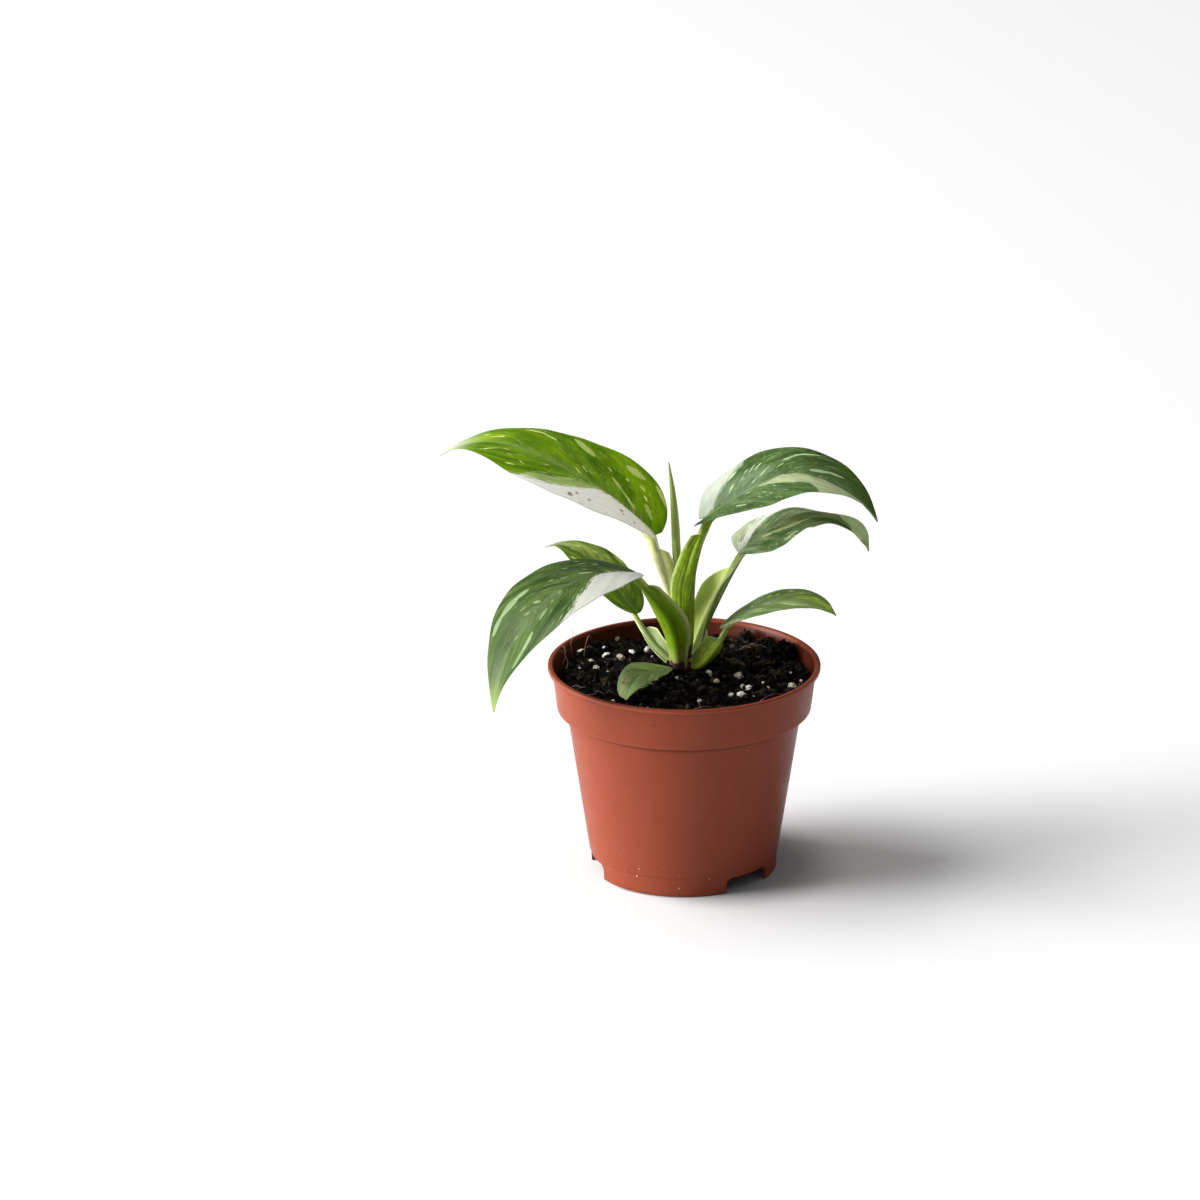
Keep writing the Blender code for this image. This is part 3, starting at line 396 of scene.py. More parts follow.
        spots=(), bulges=((0.975, 1, -0.4, 0.05), (0.975, -1, -0.4, 0.05))),
    "back_left": dict(
        rows=150, columns=64, band=0.25, flecks=0.5, veins=9, shine=0.12, fleck=(206, 222, 150),
        stripes=(0.25, 0.6), tip=((178, 174, 168), 0.78, 0.95), lift=(1.72, 1.4, 2.6),
        greens=((58, 92, 8), (98, 132, 36), (146, 170, 84)),
        washes=(
            ((132, 158, 72), 0.65, (50, -55), (80, -20), 3, 4),
            ((58, 90, 8), 0.6, (5, 0), (35, 0), 5, 5)),
        sectors=(),
        streaks=(
            (73.5, 30, 69, 2, 0.6, 0.8), (61, 85, 56.5, 72, 0.7, 0.75),
            (64, -45, 60, -47, 0.5, 0.8), (57, -62, 52, -66, 1, 0.35),
            (53, -93, 44, -90, 0.8, 0.45), (76, -30, 72, -34, 0.5, 0.6),
            (42, -93, 35, -86, 0.35, 0.6), (80, 35, 76, 28, 0.4, 0.5)),
        spots=(), bulges=()),
    "front": dict(
        rows=150, columns=64, band=0.15, flecks=0.9, veins=7, shine=0.18, fleck=(160, 184, 116),
        stripes=(0.34, 0.55), tip=((176, 196, 140), 0.88, 0.7), lift=(2.45, 2.1, 2.6),
        greens=((74, 98, 46), (112, 136, 78), (140, 160, 104)),
        washes=(
            ((84, 106, 62), 0.5, (50, -20), (72, -15), 1.6, 2.5),
            ((138, 160, 106), 0.5, (80, -30), (97, -20), 1.4, 2.5),
            ((128, 140, 88), 0.5, (62, -75), (85, -70), 1.2, 2),
            ((30, 46, 14), 0.85, (38, 28), (40, 32), 0.45, 0.5),
            ((30, 46, 14), 0.85, (52, -45), (53, -42), 0.35, 0.5)),
        sectors=(
            ((158, 176, 132), -1, 0.08, ((0, 120), (38, 120), (46, 92), (60, 86), (85, 86),
              (100, 90)), TO_MARGIN),),
        streaks=(
            (74, 12, 82, 36, 0.5, 0.6), (82, 35, 93, 20, 0.5, 0.6), (30, 50, 42, 55, 0.5, 0.4)),
        spots=(
            (73.5, -42, 0.9), (74, -64, 0.9), (76, -50, 0.6), (38, 30, 0.6), (23.5, 80, 0.6),
            (70, -60, 0.5)),
        bulges=(
            (0.5, 1, 0.1, 0.02), (0.56, 1, -0.1, 0.03), (0.63, 1, 0.22, 0.012),
            (0.67, 1, -0.16, 0.025), (0.72, 1, 0.2, 0.014), (0.765, 1, -0.16, 0.02),
            (0.8, 1, 0.34, 0.012), (0.84, 1, -0.1, 0.02), (0.975, -1, -0.62, 0.05),
            (0.975, 1, -0.45, 0.05))),
}

# ---- the stalks -----------------------------------------------------------------------
# Each stalk is a rod whose two edges run out into the wings of a sheath. The lists run from
# the stem up: inward is the azimuth that the channel opens towards, wings the reach of the
# two wings in tenths of a millimetre, bend the channel's radius, rod the rod's half width.
# ends and rounding: the part of the way up where each wing ends and over which it rounds off.

STALKS = {
    "upper_left": dict(
        path=(
            (-0.0018, 0.0088, 0.0838), (-0.0038, 0.0083, 0.1005), (-0.006, 0.0078, 0.1097),
            (-0.0082, 0.0072, 0.1172), (-0.0106, 0.0067, 0.1243)),
        inward=(-20, 10, 30, 40, 30),
        wings=(
            (20, 32, 42, 50, 56, 60, 62, 62, 60, 57, 54, 52, 50),
            (18, 20, 22, 24, 25, 26, 27, 27, 26, 24, 22, 19, 18)),
        ends=(0.865, 0.865), rounding=(0.07, 0.07), bend=(0.0026, 0.0032, 0.004, 0.0042, 0.0042),
        rod=(0.0012, 0.0015, 0.0019, 0.0023)),
    "upper_right": dict(
        path=(
            (0.0006, 0.004, 0.0836), (0.001, 0.0032, 0.1), (0.0016, 0.0036, 0.1114),
            (0.0031, 0.0048, 0.1204), (0.0054, 0.0063, 0.1292)),
        inward=(100, 112, 125, 140, 150),
        wings=(
            (22, 40, 52, 58, 60, 60, 58, 55, 50, 44, 38, 32, 27, 23, 21),
            (22, 44, 60, 70, 77, 80, 79, 74, 68, 63, 58, 50, 40, 34, 30)),
        ends=(0.95, 0.86), rounding=(0.05, 0.02), bend=(0.0036, 0.0044, 0.005, 0.005, 0.0044),
        rod=(0.0016, 0.0019, 0.002, 0.0019)),
    "lower_left": dict(
        path=(
            (-0.0026, 0.0012, 0.0804), (-0.003, 0, 0.0898), (-0.0051, -0.0015, 0.0984),
            (-0.0089, -0.0035, 0.1068), (-0.0135, -0.006, 0.1138)),
        inward=(68, 66, 62, 56, 45),
        wings=(
            (36, 40, 48, 61, 70, 72, 68, 60, 54, 51, 50, 50, 48),
            (36, 44, 54, 66, 80, 88, 84, 70, 56, 46, 36, 28, 24)),
        ends=(0.87, 0.93), rounding=(0.07, 0.07), bend=(0.005, 0.007, 0.0088, 0.008, 0.006),
        rod=(0.0018, 0.0018, 0.0018, 0.0017)),
    "middle_right": dict(
        path=(
            (0.003, 0.0092, 0.0803), (0.006, 0.0103, 0.089), (0.0092, 0.011, 0.0974),
            (0.0133, 0.0115, 0.1063), (0.0174, 0.0119, 0.1147)),
        inward=(215, 208, 200, 196, 200),
        wings=(
            (26, 36, 48, 60, 72, 82, 88, 92, 92, 88, 80, 70, 60, 50),
            (16, 20, 28, 40, 50, 58, 61, 62, 62, 58, 52, 44, 36, 30)),
        ends=(0.84, 0.85), rounding=(0.22, 0.1), bend=(0.0044, 0.0046, 0.0046, 0.0046, 0.0042),
        rod=(0.0016, 0.0017, 0.0016, 0.0015)),
    "back_left": dict(
        path=(
            (-0.0036, 0.0096, 0.079), (-0.0078, 0.0122, 0.0816), (-0.0121, 0.0157, 0.0848),
            (-0.016, 0.0202, 0.0892)),
        inward=(-55, -62, -66, -60),
        wings=((20, 22, 22, 20, 18, 16, 14, 12, 12), (22, 36, 48, 54, 56, 54, 48, 40, 30)),
        ends=(0.7, 0.74), rounding=(0.1, 0.12), bend=(0.0036, 0.004, 0.0044, 0.0036),
        rod=(0.0012, 0.0013, 0.0012, 0.0011)),
    "lower_right": dict(
        path=(
            (0.0026, 0.004, 0.079), (0.0061, 0.003, 0.0808), (0.01, 0.003, 0.0848),
            (0.0134, 0.0034, 0.0897)),
        inward=(125, 118, 112, 150),
        wings=((24, 34, 40, 42, 40, 34, 28, 22, 18), (28, 42, 54, 62, 64, 62, 56, 52, 48)),
        ends=(0.78, 0.8), rounding=(0.1, 0.07), bend=(0.0036, 0.004, 0.0044, 0.0038),
        rod=(0.0014, 0.0014, 0.0013, 0.0012)),
    "front": dict(
        path=((-0.0014, 0.0046, 0.0776), (-0.0032, 0.0037, 0.078)), inward=(130, 130),
        wings=((10, 10), (10, 10)), ends=(1, 1), rounding=(0.07, 0.07), bend=(0.006, 0.006),
        rod=(0.001, 0.0009)),
}
# Where a stalk meets its blade: how far past the blade's foot it ends, how far under the
# midrib, and the part of the midrib that its thinning run follows.
STALK_HOLD = 0.0006
STALK_DROP = 0.0014
STALK_STATIONS = 120
STALK_COLUMNS = 27
SHEATH_WALL = 0.00055
SHEATH_EDGE = 0.00022
ROD_DEPTH = 1.8
RUN_PART = (0.02, 0.16)
RUN_STATIONS = 16
RUN_DROP = 0.0004
RUN_RADIUS = 0.00035
STALK_SMOOTHING = 6
STALK_FOOT = (0.34, 0.33, 0.10)
STALK_SCAR = (0.050, 0.024, 0.016)

# Outer rod, sheath, inner face and margin, 0 to 255, how marked the long streaks are, and the
# part of each wing at which its pale margin starts.
STALK_LOOKS = {
    "upper_left": (
        (200, 201, 146), (194, 202, 118), (212, 222, 126), (236, 234, 218), 0.45, (0.86, 0.86)),
    "upper_right": (
        (116, 146, 18), (134, 160, 22), (154, 176, 42), (190, 202, 140), 0.9, (0.86, 0.84)),
    "lower_left": (
        (94, 128, 8), (108, 140, 14), (134, 158, 44), (176, 180, 122), 0.5, (0.66, 0.86)),
    "middle_right": (
        (84, 112, 18), (116, 142, 36), (190, 206, 112), (212, 218, 170), 0.6, (0.86, 0.86)),
    "back_left": (
        (186, 192, 66), (136, 152, 66), (108, 126, 70), (196, 202, 150), 0.35, (0.86, 0.82)),
    "lower_right": (
        (150, 176, 50), (142, 172, 58), (150, 174, 70), (216, 224, 178), 0.7, (0.86, 0.84)),
    "front": ((146, 164, 84), (140, 156, 82), (146, 162, 90), (176, 186, 130), 0.4, (0.86, 0.86)),
}

# The rolled new leaf and the scale leaf. Tints are pale, green and dark, 0 to 255.
SHOOTS = {
    "rolled_new_leaf": dict(
        node="new_leaf", look="young_leaf", stations=120, around=48, flatness=1.0, smooth=50.0,
        course=((-0.0012, 0.0072, 0.0880), (-0.0018, 0.0074, 0.1060), (-0.0030, 0.0071, 0.1251),
                (-0.0036, 0.0070, 0.1383), (-0.0045, 0.0078, 0.1500), (-0.0060, 0.0085, 0.1612)),
        radii=(0.0006, 0.0012, 0.0017, 0.0016, 0.0011, 0.0003),
        tints=((184, 190, 122), (120, 138, 50), (74, 96, 34))),
    "scale_leaf": dict(
        node="cataphyll", look="scale_leaf", stations=60, around=32, flatness=0.45, smooth=60.0,
        course=((0.0058, 0.0048, 0.0795), (0.0073, 0.0046, 0.0862), (0.0082, 0.0045, 0.0905),
                (0.0087, 0.0049, 0.0945)),
        radii=(0.0010, 0.0011, 0.0009, 0.0003),
        tints=((214, 220, 176), (170, 184, 112), (140, 156, 80))),
}
DRY_SHOOT_TIP = (0.30, 0.30, 0.20)

STEM_X = -0.0005
STEM_Y = 0.0063
STEM_PROFILE = ((0.0, 0.0580), (0.0022, 0.0586), (0.0033, 0.0620), (0.0037, 0.0700),
                (0.0038, 0.0770), (0.0035, 0.0805), (0.0026, 0.0832), (0.0, 0.0842))


STEM_SCAR_SPACING = 0.0034
STEM_SCAR_DEPTH = 0.00012
STEM_GREEN = (118, 132, 56)
STEM_BROWN = (92, 58, 44)
STEM_DIRT = (0.045, 0.028, 0.018)

# ---- settings -------------------------------------------------------------------------

LENGTH = dict(subtype="DISTANCE", unit="LENGTH")
TURN = dict(subtype="ANGLE", unit="ROTATION")
SHARE = dict(min=0.0, max=1.0, subtype="FACTOR")
TINT = dict(size=3, min=0.0, max=1.0, subtype="COLOR")


class PotSettings(bpy.types.PropertyGroup):
    segments: IntProperty(
        name="Segments", description="Faces round the pot", default=192, min=24, max=512)
    lip_rounding: FloatProperty(
        name="Lip rounding", description="Radius of the rim's edges", default=0.0007, min=0.0001,
        max=0.001, **LENGTH)
    plastic: FloatVectorProperty(
        name="Plastic", description="Colour of the plastic", default=(0.222, 0.0425, 0.0185),
        **TINT)
    roughness: FloatProperty(
        name="Roughness", description="How matt the plastic is", default=0.42, **SHARE)


class MixSettings(bpy.types.PropertyGroup):
    peat: FloatVectorProperty(
        name="Peat", description="Colour of the damp peat", default=(0.0010, 0.0008, 0.0007),
        **TINT)
    crumb_density: FloatProperty(
        name="Crumbs", description="Crumbs per square metre", default=330000.0,
        min=0.0, max=1.0e6)
    crumb_smallest: FloatProperty(
        name="Smallest crumb", description="Radius of the smallest crumbs", default=0.00028,
        min=0.0001, max=0.002, **LENGTH)
    crumb_largest: FloatProperty(
        name="Largest crumb", description="Radius of the largest crumbs", default=0.0027,
        min=0.0002, max=0.004, **LENGTH)
    sliver_density: FloatProperty(
        name="Slivers", description="Slivers of fibre per square metre", default=26000.0, min=0.0,
        max=2.0e5)
    seed: IntProperty(
        name="Seed", description="Arrangement of the loose bits", default=4, min=0)
    perlite: FloatVectorProperty(
        name="Perlite", description="Colour of clean perlite", default=(0.86, 0.83, 0.76), **TINT)


class PlantSettings(bpy.types.PropertyGroup):
    blade_thickness: FloatProperty(
        name="Blade thickness", description="Thickness of a blade beside its midrib",
        default=0.00042, min=0.0001, max=0.001, **LENGTH)
    midrib: FloatProperty(
        name="Midrib", description="How far the midrib stands out underneath at its foot",
        default=0.0009, min=0.0, max=0.002, **LENGTH)
    vein_relief: FloatProperty(
        name="Vein relief", description="Height of the swellings between side veins",
        default=0.00008, min=0.0, max=0.001, **LENGTH)
    margin_wave: FloatProperty(
        name="Margin wave", description="Height of the waves along a margin", default=0.00035,
        min=0.0, max=0.002, **LENGTH)
    light_through: FloatProperty(
        name="Light through", description="Share of the light that passes a blade", default=0.42,
        **SHARE)


class StageSettings(bpy.types.PropertyGroup):
    floor_size: FloatProperty(
        name="Floor size", description="Side of the floor", default=12.0, **LENGTH)
    floor_colour: FloatVectorProperty(
        name="Floor", description="Colour of the floor", default=(0.68, 0.68, 0.68), **TINT)
    key_power: FloatProperty(
        name="Key light", description="Power of the soft light at the left", default=340.0,
        unit="POWER")
    key_azimuth: FloatProperty(
        name="Key azimuth", description="Direction of the soft light round the pot",
        default=math.radians(177.5), **TURN)
    key_elevation: FloatProperty(
        name="Key elevation", description="Height of the soft light as an angle",
        default=math.radians(45.0), **TURN)
    side_power: FloatProperty(
        name="Side light", description="Power of the low light at the front left", default=440.0,
        unit="POWER")
    side_azimuth: FloatProperty(
        name="Side azimuth", description="Direction of the low light round the pot",
        default=math.radians(190.0), **TURN)
    side_elevation: FloatProperty(
        name="Side elevation", description="Height of the low light as an angle",
        default=math.radians(10.0), **TURN)
    light_distance: FloatProperty(
        name="Light distance", description="Distance of both lights", default=5.0, **LENGTH)
    overhead: FloatProperty(
        name="Overhead", description="Brightness of the surroundings straight above",
        default=0.62)
    horizon: FloatProperty(
        name="Horizon", description="Brightness of the surroundings at the level of the floor",
        default=0.03)
    camera_distance: FloatProperty(
        name="Camera distance", description="Distance in front of the pot", default=2.1663,
        **LENGTH)
    camera_height: FloatProperty(
        name="Camera height", description="Height above the floor", default=0.88197, **LENGTH)
    camera_pitch: FloatProperty(
        name="Camera pitch", description="Angle below the horizon", default=0.3430, **TURN)
    camera_yaw: FloatProperty(
        name="Camera yaw", description="Turn to the right", default=-0.0149, **TURN)
    camera_roll: FloatProperty(
        name="Camera roll", description="Tilt of the camera", default=-0.0038, **TURN)
    camera_lens: FloatProperty(
        name="Camera lens", description="Focal length", default=180.0, subtype="DISTANCE_CAMERA")


class PhilodendronSettings(bpy.types.PropertyGroup):
    pot: PointerProperty(type=PotSettings, name="Pot", description="The nursery pot")
    mix: PointerProperty(type=MixSettings, name="Mix", description="The potting mix")
    plant: PointerProperty(type=PlantSettings, name="Plant", description="Leaves and stalks")
    stage: PointerProperty(
        type=StageSettings, name="Stage", description="Floor, light and camera")


def settings():
    return bpy.context.scene.philodendron


# ---- meshes ---------------------------------------------------------------------------

def from_screen(colour):
    """A linear colour from a display colour of 0 to 255."""
    shares = [value / 255.0 for value in colour]
    return tuple(s / 12.92 if s <= 0.04045 else ((s + 0.055) / 1.055) ** 2.4 for s in shares)


def toned(colour, factor):
    """The colour made darker, or lighter with a factor over 1."""
    return tuple(factor * channel for channel in colour)


def blended(first, second, share):
    """The first colour with a share of the second in it."""
    return tuple((1.0 - share) * a + share * b for a, b in zip(first, second))


def along(values, position):
    """A smooth curve through equally spaced values, read at positions from 0 to 1."""
    points = np.asarray(values, dtype=float)
    count = len(points) - 1
    place = np.clip(position, 0.0, 1.0) * count
    index = np.minimum(place.astype(int), count - 1)
    u = place - index
    if points.ndim > 1:
        u = u[:, None]
    before = 2.0 * points[0] - points[1]
    after = 2.0 * points[-1] - points[-2]
    padded = np.concatenate([[before], points, [after]])
    a, b, c, d = (padded[index + step] for step in range(4))
    square, cube = 2 * a - 5 * b + 4 * c - d, 3 * b - a - 3 * c + d
    return 0.5 * (2 * b + (c - a) * u + square * u**2 + cube * u**3)


def unit(vectors):
    return vectors / np.linalg.norm(vectors, axis=-1, keepdims=True)


def link(thing):
    bpy.context.scene.collection.objects.link(thing)
    return thing


def evaluated_mesh(thing):
    """The object's mesh with its modifiers applied."""
    bpy.context.view_layer.update()
    graph = bpy.context.evaluated_depsgraph_get()
    return bpy.data.meshes.new_from_object(thing.evaluated_get(graph), depsgraph=graph)


def make_piece(name, vertices, faces, material, nodes, slot, smooth):
    """One finished piece in place in the row frame, riding on the part's body."""
    mesh = bpy.data.meshes.new(name)
    mesh.from_pydata([tuple(v) for v in vertices], [], faces)
    mesh.transform(Matrix.Translation(AXIS))
    mesh.materials.append(material)
    return settle(mesh, nodes, smooth)


def settle(mesh, nodes, smooth):
    """The mesh as a piece that rides on the body and stands for the nodes. Edges sharper
    than smooth degrees stay sharp, and with 0 every face is flat."""
    if smooth:
        mesh.shade_smooth()
        mesh.set_sharp_from_angle(angle=math.radians(smooth))
    else:
        mesh.shade_flat()
    piece = link(bpy.data.objects.new(mesh.name, mesh))
    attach(piece, BODY)
    if nodes:
        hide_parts(*nodes)
    return piece


def store(mesh, name, values):
    """A vector for each vertex, for the materials to read."""
    layer = mesh.attributes.new(name, "FLOAT_VECTOR", "POINT")
    layer.data.foreach_set("vector", np.asarray(values, np.float32).ravel())


def tube_faces(rings, around):
    """Faces of a closed tube given ring by ring, anticlockwise seen from its end."""
    faces = []
    for ring in range(rings - 1):
        for side in range(around):
            here = ring * around + side
            there = ring * around + (side + 1) % around
            faces.append((here, there, there + around, here + around))
    faces.append(tuple(reversed(range(around))))
    faces.append(tuple(range((rings - 1) * around, rings * around)))
    return faces


def turned(profile, segments, x=0.0, y=0.0):
    """A solid turned round Z from a profile of (radius, height) that starts and ends on the
    axis and runs anticlockwise round the section."""
    vertices = [(x, y, profile[0][1])]
    for radius, height in profile[1:-1]:
        for step in range(segments):
            angle = 2.0 * math.pi * step / segments
            vertices.append((x + radius * math.cos(angle), y + radius * math.sin(angle), height))
    vertices.append((x, y, profile[-1][1]))
    rings = len(profile) - 2
    faces = []
    for step in range(segments):
        following = (step + 1) % segments
        faces.append((0, 1 + following, 1 + step))
        for ring in range(rings - 1):
            low = 1 + ring * segments
            high = low + segments
            faces.append((low + step, low + following, high + following, high + step))
        last = 1 + (rings - 1) * segments
        faces.append((last + step, last + following, len(vertices) - 1))
    return vertices, faces


def rounded(corners, steps=5):
    """The points of an open outline whose corners carry a radius as their third value."""
    points = []
    for index, corner in enumerate(corners):
        here = Vector(corner[:2])
        radius = corner[2] if len(corner) > 2 else 0.0
        if radius == 0.0:
            points.append(tuple(here))
            continue
        before = Vector(corners[index - 1][:2]) - here
        after = Vector(corners[index + 1][:2]) - here
        half = before.angle(after) / 2.0
        back = min(radius / math.tan(half), 0.49 * before.length, 0.49 * after.length)
        start, end = here + before.normalized() * back, here + after.normalized() * back
        for step in range(steps + 1):
            t = step / steps
            points.append(tuple(start * (1 - t) ** 2 + here * 2 * t * (1 - t) + end * t**2))
    return points


# ---- node trees -----------------------------------------------------------------------

class Tree:
    """Short calls for filling a node tree."""

    def __init__(self, tree):
        self.tree = tree

    def add(self, kind, inputs=None, **options):
        made = self.tree.nodes.new(kind)
        for key, value in options.items():
            setattr(made, key, value)
        for key, value in (inputs or {}).items():
            self.feed(made.inputs[key], value)
        return made

    def feed(self, socket, value):
        if isinstance(value, bpy.types.NodeSocket):
            self.tree.links.new(value, socket)
        elif socket.type == "RGBA" and len(value) == 3:
            socket.default_value = (*value, 1.0)
        else:
            socket.default_value = value

    def math(self, operation, *values, clamp=False):
        made = self.add("ShaderNodeMath", dict(enumerate(values)), operation=operation,
                        use_clamp=clamp)
        return made.outputs[0]

    def times(self, first, *others):
        for other in others:
            first = self.math("MULTIPLY", first, other)
        return first

    def plus(self, first, second, clamp=False):
        return self.math("ADD", first, second, clamp=clamp)

    def minus(self, first, second):
        return self.math("SUBTRACT", first, second)

    def away(self, value, level):
        """How far a value is from a level, on either side."""
        return self.math("ABSOLUTE", self.minus(value, level))

    def vector(self, operation, *values):
        made = self.add("ShaderNodeVectorMath", dict(enumerate(values)), operation=operation)
        return made.outputs["Value" if operation in ("LENGTH", "DOT_PRODUCT") else "Vector"]

    def join(self, x, y, z):
        return self.add("ShaderNodeCombineXYZ", {0: x, 1: y, 2: z}).outputs[0]

    def scale(self, vector, factor):
        made = self.add("ShaderNodeVectorMath", {0: vector, "Scale": factor}, operation="SCALE")
        return made.outputs["Vector"]

    def mix(self, factor, first, second, blend="MIX"):
        made = self.add("ShaderNodeMix", {0: factor, 6: first, 7: second}, data_type="RGBA",
                        blend_type=blend)
        return made.outputs[2]

    def between(self, value, low, high, from_low=0.0, from_high=1.0, smooth=False):
        made = self.add("ShaderNodeMapRange",
                        {0: value, 1: from_low, 2: from_high, 3: low, 4: high})
        made.interpolation_type = "SMOOTHSTEP" if smooth else "LINEAR"
        return made.outputs[0]

    def noise(self, vector, scale, detail=2.0, roughness=0.5, colour=False):
        made = self.add("ShaderNodeTexNoise", {
            "Vector": vector, "Scale": scale, "Detail": detail, "Roughness": roughness})
        return made.outputs["Color" if colour else "Fac"]

    def cells(self, vector, scale):
        """The distance to the nearest scattered point, and that point's chance colour."""
        made = self.add("ShaderNodeTexVoronoi", {"Vector": vector, "Scale": scale})
        return made.outputs["Distance"], made.outputs["Color"]

    def stretched(self, vector, scale=(1.0, 1.0, 1.0), location=(0.0, 0.0, 0.0)):
        made = self.add("ShaderNodeMapping",
                        {"Vector": vector, "Scale": scale, "Location": location})
        return made.outputs[0]

    def attribute(self, name):
        made = self.add("ShaderNodeAttribute", attribute_name=name)
        return made.outputs["Vector"]

    def axes(self, vector):
        return self.add("ShaderNodeSeparateXYZ", {0: vector}).outputs

    def group(self, tree, inputs):
        made = self.add("ShaderNodeGroup", node_tree=tree)
        for key, value in inputs.items():
            self.feed(made.inputs[key], value)
        return made.outputs[0]

    def own_place(self):
        return self.add("ShaderNodeTexCoord").outputs["Object"]

    def dress(self, shader, colour, roughness, relief, strength, depth, plain=()):
        """Feed the shader its colour, roughness and relief, and set its plain sockets."""
        bump = self.add("ShaderNodeBump", {"Height": relief, "Strength": strength,
                                           "Distance": depth})
        self.feed(shader.inputs["Base Color"], colour)
        self.feed(shader.inputs["Roughness"], roughness)
        self.feed(shader.inputs["Normal"], bump.outputs[0])
        for socket, value in dict(plain).items():
            shader.inputs[socket].default_value = value


def new_material(name):
    """An empty material with its tree, its Principled shader and its output."""
    material = bpy.data.materials.new(name)
    material.use_nodes = True
    tree = Tree(material.node_tree)
    shader = material.node_tree.nodes["Principled BSDF"]
    return material, tree, shader


def new_group(name, inputs):
    """A shader node group with named inputs of (type, default) that puts out a mask."""
    group = bpy.data.node_groups.new(name, "ShaderNodeTree")
    for key, (socket, default) in inputs.items():
        made = group.interface.new_socket(key, in_out="INPUT", socket_type="NodeSocket" + socket)
        made.default_value = default
    group.interface.new_socket("Mask", in_out="OUTPUT", socket_type="NodeSocketFloat")
    tree = Tree(group)
    entry = tree.add("NodeGroupInput")
    leave = tree.add("NodeGroupOutput")
    return group, tree, entry.outputs, leave.inputs["Mask"]


def streak_group():
    """A tapering stroke between two places, as a mask."""
    group, tree, given, result = new_group("Streak", {
        "Place": ("Vector", (0.0, 0.0, 0.0)), "From": ("Vector", (0.0, 0.0, 0.0)),
        "To": ("Vector", (1.0, 0.0, 0.0)), "Half Width": ("Float", 0.5),
        "Softness": ("Float", 0.2)})
    run = tree.vector("SUBTRACT", given["To"], given["From"])
    reach = tree.vector("SUBTRACT", given["Place"], given["From"])
    part = tree.math("DIVIDE", tree.vector("DOT_PRODUCT", reach, run),
                     tree.vector("DOT_PRODUCT", run, run), clamp=True)
    off = tree.vector("LENGTH", tree.vector("SUBTRACT", reach, tree.scale(run, part)))
    swell = tree.math("MULTIPLY", tree.times(part, tree.minus(1.0, part)), 3.0, clamp=True)
    width = tree.times(given["Half Width"], tree.plus(0.45, tree.times(swell, 0.75)))
    depth = tree.math("DIVIDE", tree.minus(width, off), given["Softness"])
    tree.feed(result, tree.plus(depth, 0.5, clamp=True))
    return group


def speck_group():
    """Small scattered specks, as a mask."""
    group, tree, given, result = new_group("Specks", {
        "Place": ("Vector", (0.0, 0.0, 0.0)), "Scale": ("Float", 500.0),
        "Share": ("Float", 0.1), "Size": ("Float", 0.2)})
    distance, chance = tree.cells(given["Place"], given["Scale"])
    near = tree.between(distance, 1.0, 0.0, tree.times(given["Size"], 0.6), given["Size"])
    chosen = tree.math("LESS_THAN", tree.axes(chance)[0], given["Share"])
    tree.feed(result, tree.times(near, chosen))
    return group


def mottle_group():
    """Soft uneven patches, as a mask."""
    group, tree, given, result = new_group("Mottle", {
        "Place": ("Vector", (0.0, 0.0, 0.0)), "Scale": ("Float", 100.0),
        "Low": ("Float", 0.35), "High": ("Float", 0.65)})
    value = tree.noise(given["Place"], given["Scale"], 4.0, 0.6)
    tree.feed(result, tree.between(value, 0.0, 1.0, given["Low"], given["High"], smooth=True))
    return group


def shared_group(name, make):
    """The group of that name, built the first time it is asked for."""
    return bpy.data.node_groups.get(name) or make()


def streak(tree, place, start, end, half_width, softness=0.25):
    return tree.group(shared_group("Streak", streak_group), {
        "Place": place, "From": start, "To": end, "Half Width": half_width, "Softness": softness})


def specks(tree, place, scale, share, size):
    return tree.group(shared_group("Specks", speck_group),
                      {"Place": place, "Scale": scale, "Share": share, "Size": size})


def mottle(tree, place, scale, low=0.35, high=0.65):
    return tree.group(shared_group("Mottle", mottle_group),
                      {"Place": place, "Scale": scale, "Low": low, "High": high})


# ---- the pot --------------------------------------------------------------------------

def pot_wall_radius(height):
    """Outer radius of the pot at a height."""
    if height >= COLLAR_FOOT:
        part = (height - COLLAR_FOOT) / (POT_HEIGHT - LIP_HEIGHT - COLLAR_FOOT)
        return COLLAR_FOOT_RADIUS + part * (COLLAR_TOP_RADIUS - COLLAR_FOOT_RADIUS)
    part = (height - FOOT_HEIGHT) / (COLLAR_FOOT - FOOT_HEIGHT)
    return BODY_FOOT_RADIUS + part * (BODY_TOP_RADIUS - BODY_FOOT_RADIUS)


